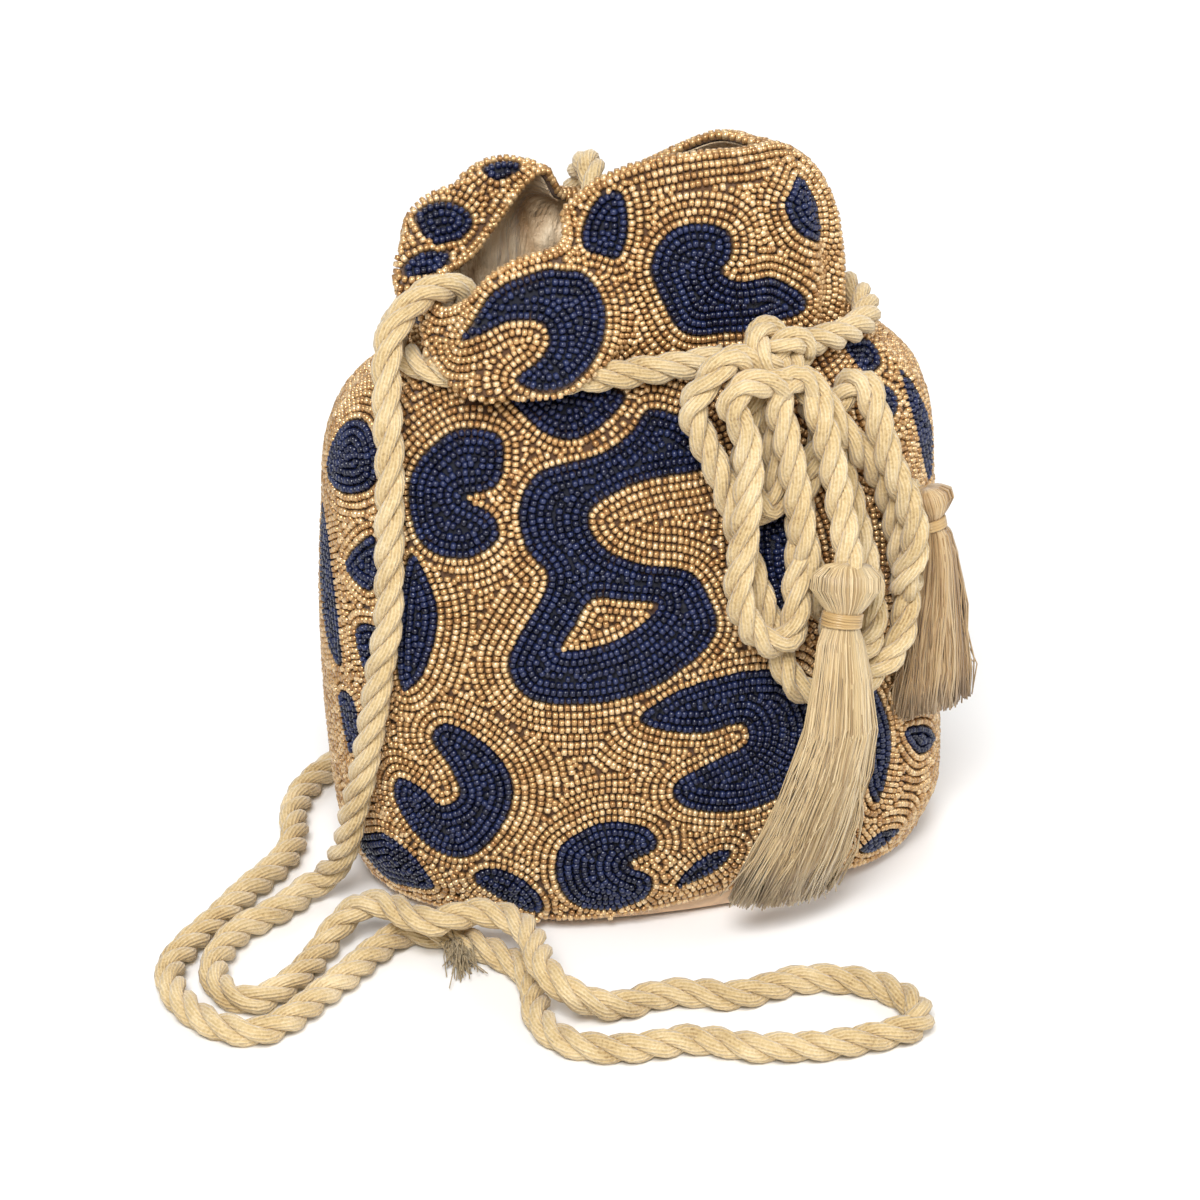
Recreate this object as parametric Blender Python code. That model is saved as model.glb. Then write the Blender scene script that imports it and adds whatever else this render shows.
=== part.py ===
"""Potli bag: a beaded drawstring pouch with a satin lining, a rope drawstring and a rope shoulder strap."""

import math

import bpy
from mathutils import Vector
from mathutils.geometry import delaunay_2d_cdt

# Pouch, in metres
BASE_WIDTH = 0.150
BASE_DEPTH = 0.098
HEM_HEIGHT = 0.004
FOOT_WIDTH = 0.160
FOOT_DEPTH = 0.107
FOOT_HEIGHT = 0.018
BELLY_WIDTH = 0.160
BELLY_DEPTH = 0.108
BELLY_HEIGHT = 0.062
CHEST_WIDTH = 0.158
CHEST_DEPTH = 0.101
CHEST_HEIGHT = 0.102
SHOULDER_WIDTH = 0.149
SHOULDER_DEPTH = 0.082
SHOULDER_HEIGHT = 0.131
NECK_WIDTH = 0.108
NECK_DEPTH = 0.058
NECK_HEIGHT = 0.149
COLLAR_HEIGHT = 0.008
BASE_SHIFT = 0.003
CORNER_ROUNDING = 2.25
SHELL_THICKNESS = 0.0012
LINING_THICKNESS = 0.0004
PANEL_THICKNESS = 0.0015
PANEL_OVERLAP = 0.002
TURN_UP_WIDTH = 0.007
TURN_UP_ROUNDING = 0.002
CLEARANCE = 0.0003
LINING_SETBACK = 0.0015

# Gathers that run down from the neck
GATHER_COUNT = 16
GATHER_DEPTH = 0.0012
GATHER_FADE = 0.034

# Mesh density
STEPS_PER_FOLD = 3
ROWS_PER_STOP = 2
FRILL_ROWS = 6
PANEL_SIDES = 48
CURVE_PARTS = 12
NORMAL_STEP = 0.02

# Folds of the frill above the neck, anticlockwise from the right as seen from above.
# Each row: angle round the neck in degrees, outward push and lift of the belly in
# millimetres, place of the rim as shares of the neck's half width and half depth, and
# the rim's height above the neck in millimetres.
FOLDS = (
    (8, 1, 32, 0.74, 0.04, 42),
    (28, 3, 38, 0.63, 0.28, 42),
    (50, 8, 38, 0.47, 0.50, 42),
    (75, 11, 30, 0.20, 0.71, 34),
    (98, 11, 25, -0.03, 0.80, 27),
    (115, 8, 36, -0.22, 0.75, 27),
    (131, 8, 48, -0.33, 0.59, 36),
    (147, 10, 44, -0.46, 0.52, 33),
    (163, 17, 44, -0.60, 0.36, 26),
    (177, 17, 30, -0.76, 0.16, 20),
    (187, 11, 14, -0.91, -0.04, 18),
    (196, 9, 8, -0.99, -0.27, 15),
    (205, 11, 6, -0.96, -0.50, 14),
    (217, 21, 4, -0.88, -0.69, 18),
    (231, 24, 2, -0.78, -0.79, 25),
    (245, 24, 3, -0.64, -0.81, 29),
    (256, 17, 6, -0.48, -0.76, 30),
    (263, 6, 16, -0.40, -0.58, 31),
    (268, -1, 26, -0.37, -0.38, 36),
    (273, 0, 32, -0.27, -0.45, 42),
    (279, 1, 36, -0.17, -0.55, 46),
    (287, 3, 40, 0.00, -0.61, 49),
    (299, 4, 40, 0.23, -0.63, 50),
    (314, 5, 40, 0.44, -0.55, 49),
    (330, 3, 40, 0.63, -0.40, 48),
    (348, 1, 35, 0.77, -0.19, 42),
)

# Navy spots of the pouch. Each outline point is an angle round the pouch in degrees and a height in millimetres.
BODY_SPOTS = {
    "front_kidney": ((228, 147), (233, 143), (239, 140), (250, 135), (257, 137), (262, 143), (256, 145),
                     (249, 147), (238, 148)),
    "front_ring": ((267, 140), (273, 136), (275, 131), (274, 126), (267, 125), (261, 123), (255, 118),
                   (257, 110), (263, 105), (270, 102), (273, 94), (274, 85), (269, 76), (263, 71),
                   (253, 69), (243, 71), (239, 79), (241, 87), (247, 102), (243, 110), (242, 120),
                   (246, 128), (257, 131), (263, 135)),
    "left_mitten": ((222, 135), (228, 137), (236, 135), (238, 129), (236, 124), (229, 122), (236, 118),
                    (237, 112), (230, 107), (221, 108), (217, 114), (216, 126)),
    "left_half_moon": ((216, 106), (222, 97), (223, 88), (219, 74), (213, 70), (213, 88)),
    "left_disc": ((182, 128), (189, 133), (201, 131), (205, 122), (194, 116), (180, 116)),
    "left_bean": ((193, 97), (204, 108), (206, 100), (203, 93)),
    "left_wedge": ((198, 81), (207, 84), (206, 75), (202, 69)),
    "left_strip": ((172, 103), (179, 103), (187, 88), (191, 69), (184, 68), (176, 80)),
    "left_low_strip": ((188, 58), (196, 60), (197, 50), (192, 44)),
    "low_bean": ((221, 57), (225, 62), (233, 58), (238, 50), (238, 40), (232, 28), (225, 23), (216, 26),
                 (209, 36), (211, 43), (217, 42), (222, 38), (227, 42), (225, 50)),
    "low_corner": ((188, 15), (197, 21), (205, 24), (213, 20), (217, 12), (209, 9), (198, 8)),
    "low_slipper": ((228, 17), (232, 21), (238, 19), (242, 13), (242, 7), (238, 8), (233, 12)),
    "low_c": ((253, 34), (258, 35), (263, 32), (264, 26), (259, 22), (263, 17), (262, 10), (256, 7),
              (249, 10), (246, 18), (247, 28)),
    "right_c": ((263, 63), (266, 68), (272, 72), (281, 73), (289, 69), (293, 58), (292, 47), (287, 38),
                (279, 34), (272, 35), (268, 39), (268, 45), (274, 50), (279, 53), (278, 59), (271, 58)),
    "low_leaf": ((267, 12), (269, 18), (272, 22), (275, 21), (272, 15)),
    "right_leaf": ((307, 59), (312, 49), (312, 37), (307, 25), (304, 39)),
    "right_dash": ((318, 42), (329, 38), (335, 31), (324, 32)),
    "right_low": ((304, 11), (309, 15), (317, 12), (311, 8)),
    "right_shoulder": ((325, 144), (337, 143), (331, 138), (321, 138)),
    "right_disc": ((320, 136), (326, 132), (323, 128), (316, 127), (313, 131)),
    "right_strip": ((335, 135), (338, 126), (343, 114), (337, 105), (331, 115), (330, 127)),
}
# Spots that also stand on the back of the pouch, turned half round
BACK_SPOTS = ("front_ring", "left_mitten", "right_c", "low_c", "low_bean")
# Navy spots of the frill. Each outline point is a place counted in folds and a rise from the neck in percent.
FRILL_SPOTS = {
    "flap_comma": ((13.1, 84), (13.7, 93), (14.2, 95), (15.0, 95), (15.8, 94), (16.5, 87), (16.6, 75),
                   (16.3, 65), (15.7, 58), (15.0, 54), (14.3, 64), (14.8, 71), (15.1, 77), (15.0, 83),
                   (14.4, 86), (13.7, 85)),
    "lobe_wedge": ((18.9, 95), (19.6, 94), (19.3, 87), (18.1, 73), (17.5, 84), (17.3, 91), (18.1, 92)),
    "lobe_comma": ((18.6, 56), (19.1, 66), (20.0, 70), (20.8, 69), (21.3, 64), (21.2, 54), (20.9, 48),
                   (21.2, 43), (21.9, 42), (22.5, 37), (22.9, 27), (22.6, 19), (21.0, 18), (19.8, 19),
                   (18.9, 30)),
    "right_fan": ((23.6, 80), (23.8, 71), (23.8, 60), (23.6, 50), (23.0, 56), (22.8, 64), (22.9, 73)),
    "left_disc_upper": ((8.2, 70), (8.0, 76), (7.9, 85), (8.0, 92), (8.2, 95), (8.5, 95), (8.7, 93), (8.8, 85)),
    "left_fan": ((9.3, 67), (9.1, 76), (9.0, 86), (9.0, 93), (9.2, 95), (9.6, 94), (9.6, 85)),
    "left_crest": ((6.6, 82), (6.3, 88), (6.3, 94), (6.6, 95), (7.0, 92)),
    "left_foot": ((10.0, 36), (9.9, 56), (10.4, 78), (10.8, 60), (10.6, 40)),
}
SPOT_STANDOFF = 0.0008
SPOT_THICKNESS = 0.0007
SPOT_GRID = 0.0080
FRILL_SPOT_GRID = 0.0050
SPOT_EDGE_SHARE = 0.65
SPOT_LEAST_POINTS = 12

# Cords and tassels
CORD_RADIUS = 0.0038
CORD_STEP = 0.016
CORD_LIFT = 0.003
CORD_LIFT_SHARPNESS = 24
CORD_SEAT = 0.0032
KNOT_ANGLE = 288.0
KNOT_RADIUS = 0.0090
KNOT_STANDOFF = 0.0125
KNOT_ENTRY = 0.0112
KNOT_SIDES = 12
KNOT_BANDS = 8
NECK_CORD_SPANS = 200
NECK_CORD_SHARE = 5
HANK_WIDTH = 0.058
HANK_LENGTH = 0.080
HANK_THICKNESS = 0.012
HANK_ROUNDING = 0.020
HANK_CORNER_STEPS = 5
HANK_PLACE = (0.0302, -0.0483, 0.1029)
HANK_FACING = (0.235, -0.95, 0.19)
BINDING_THICKNESS = 0.0008
BINDING_INSET = 0.08
TASSEL_SIDES = 16
TASSEL_STEP = 0.001
SIDE_TASSEL_SCALE = 0.62

# Points that each cord or tassel passes through, in millimetres
STRAP_ROUTE = (
    (-43, -6, 158), (-45.5, -8, 165), (-51, -11, 168), (-59, -14.5, 167), (-67, -19, 159), (-69, -24, 146),
    (-70, -30, 132), (-71, -33, 120), (-72, -35, 106), (-73, -36, 90), (-75, -35, 78), (-77, -33, 62),
    (-79, -30, 46), (-81, -26, 32), (-82, -22, 21), (-84, -17, 12), (-87, -13, 6), (-92, -14, 3.9),
    (-97, -19, 3.9), (-104, -24, 3.9), (-112, -29, 3.9), (-119, -38, 3.9), (-123, -48, 3.9),
    (-122, -58, 3.9), (-117, -64, 3.9), (-110, -62, 3.9), (-102, -55, 3.9), (-94, -44, 3.9),
    (-88, -38, 7), (-82, -38, 11.5), (-76, -42, 13), (-72, -49, 13), (-66, -54, 13), (-58, -52, 13),
    (-51, -54, 13), (-46, -61, 13), (-45, -72, 13), (-46, -83, 13), (-42, -90, 10), (-35, -92, 6),
    (-27, -91.5, 3.9), (-18, -89, 3.9), (-9, -90, 3.9), (0, -94, 3.9), (9, -93, 3.9),
    (17, -91, 3.9), (25, -92, 3.9), (32, -95, 3.9), (38, -100, 3.9), (42, -107, 3.9), (43, -114, 3.9),
    (40, -120, 3.9), (32, -122, 3.9), (22, -123, 3.9), (15, -123, 3.9), (6, -121, 3.9), (-2, -119, 3.9),
    (-8, -115, 3.9), (-16, -111, 3.9), (-22, -111, 3.9), (-31, -111, 3.9), (-38, -109, 3.9),
    (-44, -105, 3.9), (-48, -98, 3.9), (-49, -89, 3.9), (-47, -79, 3.9), (-47, -68, 3.9),
    (-52, -58, 3.9), (-58, -50, 3.9), (-64, -45, 3.9), (-71, -42, 3.9), (-80, -48, 3.9), (-90, -58, 3.9),
    (-99, -66, 3.9), (-109, -75, 3.9), (-118, -79, 3.9), (-126, -74, 3.9), (-131, -66, 3.9),
    (-134, -55, 3.9), (-133, -43, 3.9), (-126, -32, 3.9), (-116, -21, 3.9), (-107, -10, 3.9),
    (-99, -2, 3.9), (-92, 7, 3.9), (-88, 17, 3.9), (-86, 28, 3.9), (-80, 41, 3.9), (-69, 53, 3.9),
    (-54, 61, 3.9), (-36, 65, 3.9), (-20, 66.5, 5), (-9, 66, 12), (-4, 64, 26), (-3, 61.5, 45),
    (-3, 61, 62), (-3, 59.5, 85), (-3, 57, 105), (-3, 52, 122), (-3, 48, 137), (-3, 46, 150),
    (-3, 44, 161), (-3, 40, 171), (-3, 32, 180), (-4, 23, 182.5), (-5, 15, 179), (-6, 11, 171), (-6, 11, 164),
)
FRONT_TASSEL_ROUTE = ((38, -64.8, 106), (36, -67.7, 94), (35, -69.2, 88), (33.5, -75.4, 66), (29.5, -71.5, 42),
                      (23, -61.5, 11))
SIDE_TASSEL_ROUTE = ((66, -40.5, 112), (68, -42.3, 101), (69, -42.8, 95), (70, -41.2, 74), (71, -38.2, 47))
# Share of the tassel's length, then its width and depth there in millimetres
TASSEL_SECTIONS = ((0.0, 20, 8), (0.06, 16, 9), (0.12, 10, 8), (0.16, 10, 8), (0.22, 15, 10),
                   (0.5, 24, 11), (0.8, 31, 11), (1.0, 34, 9))
WAIST_SECTIONS = (2, 3)

MM = 0.001
FULL_TURN = 2.0 * math.pi


def hermite(before, start, end, after, share):
    """Catmull-Rom value between start and end."""
    return start + 0.5 * share * (
        end - before
        + share * (2.0 * before - 5.0 * start + 4.0 * end - after
                   + share * (3.0 * (start - end) + after - before))
    )


def profile_stops():
    """Height, half width, half depth and sideways shift of the pouch, from the hem to the neck."""
    return (
        (HEM_HEIGHT, BASE_WIDTH / 2, BASE_DEPTH / 2, BASE_SHIFT),
        (FOOT_HEIGHT, FOOT_WIDTH / 2, FOOT_DEPTH / 2, BASE_SHIFT),
        (BELLY_HEIGHT, BELLY_WIDTH / 2, BELLY_DEPTH / 2, 0.0),
        (CHEST_HEIGHT, CHEST_WIDTH / 2, CHEST_DEPTH / 2, 0.0),
        (SHOULDER_HEIGHT, SHOULDER_WIDTH / 2, SHOULDER_DEPTH / 2, 0.0),
        (NECK_HEIGHT, NECK_WIDTH / 2, NECK_DEPTH / 2, 0.0),
    )


def profile_at(height):
    """Half width, half depth and shift at a height, on a smooth curve through the stops."""
    stops = profile_stops()
    last = len(stops) - 2
    index = 0
    while index < last and height > stops[index + 1][0]:
        index += 1
    low, high = stops[index], stops[index + 1]
    share = (height - low[0]) / (high[0] - low[0])
    span = high[0] - low[0]
    values = []
    for item in range(1, 4):
        slopes = []
        for near in (index, index + 1):
            a, b = stops[max(near - 1, 0)], stops[min(near + 1, last + 1)]
            slopes.append((b[item] - a[item]) / (b[0] - a[0]) * span)
        square, cube = share * share, share ** 3
        values.append((2 * cube - 3 * square + 1) * low[item] + (cube - 2 * square + share) * slopes[0]
                      + (3 * square - 2 * cube) * high[item] + (cube - square) * slopes[1])
    return values


def oval(half_width, half_depth, angle):
    """Point of a rounded oval at an angle given in radians."""
    c, s = math.cos(angle), math.sin(angle)
    power = 2.0 / CORNER_ROUNDING
    return (half_width * math.copysign(abs(c) ** power, c),
            half_depth * math.copysign(abs(s) ** power, s))


def gather(angle, height):
    """Outward swell of the gathers, strongest at the neck."""
    fade = max(0.0, 1.0 - (NECK_HEIGHT - height) / GATHER_FADE)
    return GATHER_DEPTH * math.cos(GATHER_COUNT * angle) * fade * fade


def body_point(angle, height):
    """Outer surface of the pouch below the neck."""
    half_width, half_depth, shift = profile_at(height)
    swell = gather(angle, height)
    x, y = oval(half_width + swell, half_depth + swell, angle)
    return Vector((x + shift, y, height))


def fold_values(turn):
    """Smooth values of the folds at a place counted in folds round the neck."""
    count = len(FOLDS)
    index = math.floor(turn)
    share = turn - index
    values = []
    for item in range(6):
        four = []
        for near in range(index - 1, index + 3):
            value = FOLDS[near % count][item]
            if item == 0:
                value += 360.0 * (near // count)
            four.append(value)
        values.append(hermite(*four, share))
    return values


def frill_point(turn, rise):
    """Outer surface of the frill: rise is 0 at the neck and 1 at the rim."""
    angle, push, lift, across, back, height = fold_values(turn)
    angle = math.radians(angle)
    neck = body_point(angle, NECK_HEIGHT)
    outward = Vector((math.cos(angle) / NECK_WIDTH, math.sin(angle) / NECK_DEPTH, 0.0)).normalized()
    belly = neck + outward * push * MM + Vector((0.0, 0.0, lift * MM))
    rim = Vector((across * NECK_WIDTH / 2, back * NECK_DEPTH / 2, NECK_HEIGHT + height * MM))
    collar = neck + Vector((0.0, 0.0, COLLAR_HEIGHT))
    stay = 1.0 - rise
    return (neck * stay ** 3 + collar * 3.0 * rise * stay * stay
            + belly * 3.0 * rise * rise * stay + rim * rise ** 3)


def column_angle(turn, height):
    """Angle of a mesh column: it follows the folds at the neck and evens out down the pouch."""
    even = math.radians(FOLDS[0][0]) + FULL_TURN * turn / len(FOLDS)
    gathered = math.radians(fold_values(turn)[0])
    share = min(1.0, max(0.0, (height - BELLY_HEIGHT) / (NECK_HEIGHT - BELLY_HEIGHT)))
    return even + (gathered - even) * share


def surface(turn, level):
    """Outer surface of the whole bag: level runs from 0 at the hem to 1 at the neck and 2 at the rim."""
    if level <= 1.0:
        height = HEM_HEIGHT + (NECK_HEIGHT - HEM_HEIGHT) * level
        return body_point(column_angle(turn, height), height)
    return frill_point(turn, level - 1.0)


def lifted(place, across, up, step_across, step_up, out):
    """Point of a surface function moved outward, square to the surface."""
    sideways = place(across + step_across, up) - place(across - step_across, up)
    upward = place(across, up + step_up) - place(across, up - step_up)
    return place(across, up) + sideways.cross(upward).normalized() * out


def wall_point(turn, level, inset):
    """Point of the bag's wall, inset from the outer surface."""
    def place(across, up):
        return surface(across, min(max(up, 0.0), 2.0))
    return lifted(place, turn, level, NORMAL_STEP, NORMAL_STEP, -inset)


def rounded(points, step):
    """Points along a smooth open curve through hand-chosen points, at an even step."""
    route = [Vector(p) for p in points]
    fine = []
    for index in range(len(route) - 1):
        four = [route[min(max(near, 0), len(route) - 1)] for near in range(index - 1, index + 3)]
        for part in range(CURVE_PARTS):
            fine.append(hermite(*four, part / CURVE_PARTS))
    fine.append(route[-1])
    length = sum((b - a).length for a, b in zip(fine, fine[1:]))
    count = max(2, round(length / step))
    result = [fine[0]]
    travelled = 0.0
    for a, b in zip(fine, fine[1:]):
        leg = (b - a).length
        while len(result) < count and travelled + leg >= length * len(result) / count:
            share = (length * len(result) / count - travelled) / leg
            result.append(a.lerp(b, share))
        travelled += leg
    result.append(fine[-1])
    return result


def finish(name, points, faces, material, smooth=True):
    """Make one object from points and faces."""
    mesh = bpy.data.meshes.new(name)
    mesh.from_pydata([tuple(p) for p in points], [], faces)
    mesh.validate()
    mesh.materials.append(material)
    thing = bpy.data.objects.new(name, mesh)
    bpy.context.scene.collection.objects.link(thing)
    if smooth:
        mesh.shade_smooth()
        mesh.set_sharp_from_angle(angle=math.radians(50))
    return thing


def material(name, colour, roughness, metallic=0.0):
    """Principled material with a plain colour."""
    made = bpy.data.materials.new(name)
    made.use_nodes = True
    shader = made.node_tree.nodes["Principled BSDF"]
    shader.inputs["Base Color"].default_value = (*colour, 1.0)
    shader.inputs["Roughness"].default_value = roughness
    shader.inputs["Metallic"].default_value = metallic
    made.diffuse_color = (*colour, 1.0)
    return made


def loft(rings, closed_ends=True, turned_from=None):
    """Faces between rings of equal count, each ring anticlockwise round the way the rings advance.

    From the row turned_from on, the rings run back along an inner skin, and the diagonals are
    mirrored so that both skins are split alike.
    """
    count = len(rings[0])
    points = [p for ring in rings for p in ring]
    faces = []
    for row in range(len(rings) - 1):
        low, high = row * count, (row + 1) * count
        for side in range(count):
            after = (side + 1) % count
            a, b, c, d = low + side, low + after, high + after, high + side
            if turned_from is not None and row >= turned_from:
                faces += [(a, b, d), (b, c, d)]
            else:
                faces += [(a, b, c), (a, c, d)]
    if closed_ends:
        last = (len(rings) - 1) * count
        faces.append(tuple(reversed(range(count))))
        faces.append(tuple(last + side for side in range(count)))
    return points, faces


def wall_levels():
    """Levels of the mesh rows from the hem to the rim."""
    heights = [stop[0] for stop in profile_stops()]
    body = [0.0]
    for low, high in zip(heights, heights[1:]):
        for step in range(1, ROWS_PER_STOP + 1):
            height = low + (high - low) * step / ROWS_PER_STOP
            body.append((height - HEM_HEIGHT) / (NECK_HEIGHT - HEM_HEIGHT))
    frill = [1.0 + row / FRILL_ROWS for row in range(1, FRILL_ROWS + 1)]
    return body + frill


def wall_ring(level, inset):
    """One ring of the bag's wall at a level, moved inward."""
    count = len(FOLDS) * STEPS_PER_FOLD
    return [wall_point(column / STEPS_PER_FOLD, level, inset) for column in range(count)]


def make_shell(fabric):
    """Beaded outer fabric with its gathered neck and folded frill, open at the hem and the mouth."""
    outside = [wall_ring(level, 0.0) for level in wall_levels()]
    inside = [wall_ring(level, SHELL_THICKNESS) for level in wall_levels()]
    rings = outside + inside[::-1]
    points, faces = loft(rings, closed_ends=False, turned_from=len(outside))
    count = len(outside[0])
    last = (len(rings) - 1) * count
    for side in range(count):
        after = (side + 1) % count
        faces.append((last + side, last + after, after, side))
    return finish("outer_shell", points, faces, fabric)


def floor_ring(inset, height):
    """Ring on the outline of the base, inset and at a height, with the columns of the wall."""
    count = len(FOLDS) * STEPS_PER_FOLD
    ring = []
    for column in range(count):
        angle = column_angle(column / STEPS_PER_FOLD, HEM_HEIGHT)
        x, y = oval(BASE_WIDTH / 2 - inset, BASE_DEPTH / 2 - inset, angle)
        ring.append(Vector((x + BASE_SHIFT, y, height)))
    return ring


def panel_edge():
    """Inset of the panel's outer edge from the outline of the base, and the edge's height."""
    return SHELL_THICKNESS + CLEARANCE, HEM_HEIGHT + PANEL_OVERLAP


def make_lining(satin):
    """Satin lining inside the shell, with its own floor on the base panel, open at the mouth."""
    inset, edge = panel_edge()
    start = (edge + 3 * CLEARANCE - HEM_HEIGHT) / (NECK_HEIGHT - HEM_HEIGHT)
    levels = [start] + wall_levels()[1:]
    skins = []
    for depth in (0.0, LINING_THICKNESS):
        floor_inset = inset + TURN_UP_WIDTH + PANEL_THICKNESS + CLEARANCE + depth
        skin = [floor_ring(floor_inset, PANEL_THICKNESS + CLEARANCE + depth),
                floor_ring(inset + PANEL_THICKNESS + 3 * CLEARANCE + depth, edge + CLEARANCE + depth)]
        skin += [wall_ring(level, SHELL_THICKNESS + CLEARANCE + depth) for level in levels]
        skin[-1] = [rim.lerp(below, LINING_SETBACK / (rim - below).length)
                    for rim, below in zip(skin[-1], skin[-2])]
        skins.append(skin)
    points, faces = loft(skins[0] + skins[1][::-1], turned_from=len(skins[0]))
    return finish("lining", points, faces, satin)


def make_base_panel(fabric):
    """Flat oval panel the bag stands on, its edge turned up inside the hem."""
    inset, edge = panel_edge()
    outside = ((TURN_UP_WIDTH, 0.0), (TURN_UP_WIDTH / 2, TURN_UP_ROUNDING / 4),
               (TURN_UP_WIDTH / 8, TURN_UP_ROUNDING), (0.0, edge))
    inside = ((PANEL_THICKNESS, edge),
              (TURN_UP_WIDTH / 8 + PANEL_THICKNESS, TURN_UP_ROUNDING + PANEL_THICKNESS / 4),
              (TURN_UP_WIDTH / 2 + PANEL_THICKNESS / 2, TURN_UP_ROUNDING / 4 + PANEL_THICKNESS),
              (TURN_UP_WIDTH, PANEL_THICKNESS))
    rings = []
    for reach, height in outside + inside:
        ring = []
        for side in range(PANEL_SIDES):
            x, y = oval(BASE_WIDTH / 2 - inset - reach, BASE_DEPTH / 2 - inset - reach,
                        FULL_TURN * side / PANEL_SIDES)
            ring.append(Vector((x + BASE_SHIFT, y, height)))
        rings.append(ring)
    points, faces = loft(rings)
    return finish("base_panel", points, faces, fabric)


def closed_curve(points, parts=4):
    """Smooth closed outline through chart points, as fine chart points."""
    count = len(points)
    fine = []
    for index in range(count):
        four = [Vector(points[(index + near) % count]) for near in (-1, 0, 1, 2)]
        fine += [hermite(*four, part / parts) for part in range(parts)]
    return fine


def thinned(points, place, step):
    """Outline points about one step apart on the surface."""
    kept = [points[0]]
    for point in points[1:]:
        if (place(*point) - place(*kept[-1])).length >= step:
            kept.append(point)
    if (place(*kept[-1]) - place(*kept[0])).length < step / 2:
        kept.pop()
    return kept


def make_spot(name, outline, place, grid, beads):
    """Raised field of navy beads that follows the surface under it."""
    def ground(across, up):
        return place(across, up, 0.0)
    curve = closed_curve(outline)
    legs = zip(curve, curve[1:] + curve[:1])
    around = sum((ground(*b) - ground(*a)).length for a, b in legs)
    edge_step = min(grid * SPOT_EDGE_SHARE, around / SPOT_LEAST_POINTS)
    edge = thinned(curve, ground, edge_step)
    centre = sum(edge, Vector((0.0, 0.0))) / len(edge)
    reach = 0.5
    stretch = [(ground(centre.x + dx * reach, centre.y + dy * reach) - ground(*centre)).length / reach
               for dx, dy in ((1, 0), (0, 1))]
    flat = [Vector((p.x * stretch[0], p.y * stretch[1])) for p in edge]
    low = [min(p[axis] for p in flat) for axis in range(2)]
    high = [max(p[axis] for p in flat) for axis in range(2)]
    inner = []
    for column in range(int((high[0] - low[0]) / grid) + 1):
        for row in range(int((high[1] - low[1]) / grid) + 1):
            point = Vector((low[0] + grid * (column + 0.5), low[1] + grid * (row + 0.5)))
            if min((point - other).length for other in flat) > edge_step * 0.7:
                inner.append(point)
    loop = [(i, (i + 1) % len(flat)) for i in range(len(flat))]
    made = delaunay_2d_cdt(flat + inner, loop, [list(range(len(flat)))], 1, 1e-7)
    corners, triangles = made[0], made[2]
    chart = [(p.x / stretch[0], p.y / stretch[1]) for p in corners]
    bottom = [place(*p, SPOT_STANDOFF) for p in chart]
    top = [place(*p, SPOT_STANDOFF + SPOT_THICKNESS) for p in chart]
    count = len(chart)
    faces = [tuple(index + count for index in triangle) for triangle in triangles]
    faces += [tuple(reversed(triangle)) for triangle in triangles]
    sides = {(a, b) for triangle in triangles for a, b in zip(triangle, triangle[1:] + triangle[:1])}
    faces += [(a, b, b + count, a + count) for a, b in sorted(sides) if (b, a) not in sides]
    return finish(name, bottom + top, faces, beads)


def facet_point(turn, level):
    """Point on the flat triangles of the wall, split like the wall's own mesh."""
    levels = wall_levels()
    row = 0
    while row < len(levels) - 2 and level > levels[row + 1]:
        row += 1
    rise = (level - levels[row]) / (levels[row + 1] - levels[row])
    column = math.floor(turn * STEPS_PER_FOLD)
    along = turn * STEPS_PER_FOLD - column
    near, far = column / STEPS_PER_FOLD, (column + 1) / STEPS_PER_FOLD
    a, c = surface(near, levels[row]), surface(far, levels[row + 1])
    if along >= rise:
        b = surface(far, levels[row])
        return a + (b - a) * along + (c - b) * rise
    d = surface(near, levels[row + 1])
    return a + (d - a) * rise + (c - d) * along


def turn_at(angle, height):
    """Place counted in folds of an angle round the pouch, at a height."""
    low, high = -len(FOLDS), 2 * len(FOLDS)
    for _ in range(40):
        middle = (low + high) / 2
        if column_angle(middle, height) < angle:
            low = middle
        else:
            high = middle
    return low


def on_body(angle, height, out):
    """Point above the pouch from degrees round, millimetres up and a distance outward."""
    height = min(max(height * MM, HEM_HEIGHT), NECK_HEIGHT)
    turn = turn_at(math.radians(angle), height)
    return on_wall(turn, (height - HEM_HEIGHT) / (NECK_HEIGHT - HEM_HEIGHT), out)


def on_frill(fold, rise, out):
    """Point above the frill from folds round, percent of the way to the rim and a distance outward."""
    return on_wall(fold, 1.0 + rise / 100.0, out)


def on_wall(turn, level, out):
    """Point outward of both the smooth wall and its flat triangles."""
    base = surface(turn, level)
    outward = (wall_point(turn, level, -CLEARANCE) - base).normalized()
    proud = max(0.0, (facet_point(turn, level) - base).dot(outward))
    return base + outward * (proud + out)


def make_spots(beads):
    """All the navy fields."""
    for name, outline in BODY_SPOTS.items():
        make_spot("spot_" + name, outline, on_body, SPOT_GRID, beads)
    for name in BACK_SPOTS:
        outline = [(angle - 180.0, height) for angle, height in BODY_SPOTS[name]]
        make_spot("spot_back_" + name, outline, on_body, SPOT_GRID, beads)
    for name, outline in FRILL_SPOTS.items():
        make_spot("spot_" + name, outline, on_frill, FRILL_SPOT_GRID, beads)


def make_cord(name, points, rope):
    """Round cord through points, with closed ends."""
    curve = bpy.data.curves.new(name, "CURVE")
    curve.dimensions = "3D"
    curve.bevel_depth = CORD_RADIUS
    curve.bevel_resolution = 2
    curve.use_fill_caps = True
    line = curve.splines.new("POLY")
    line.points.add(len(points) - 1)
    for target, point in zip(line.points, points):
        target.co = (*point, 1.0)
    curve.materials.append(rope)
    thing = bpy.data.objects.new(name, curve)
    bpy.context.scene.collection.objects.link(thing)
    return thing


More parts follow.
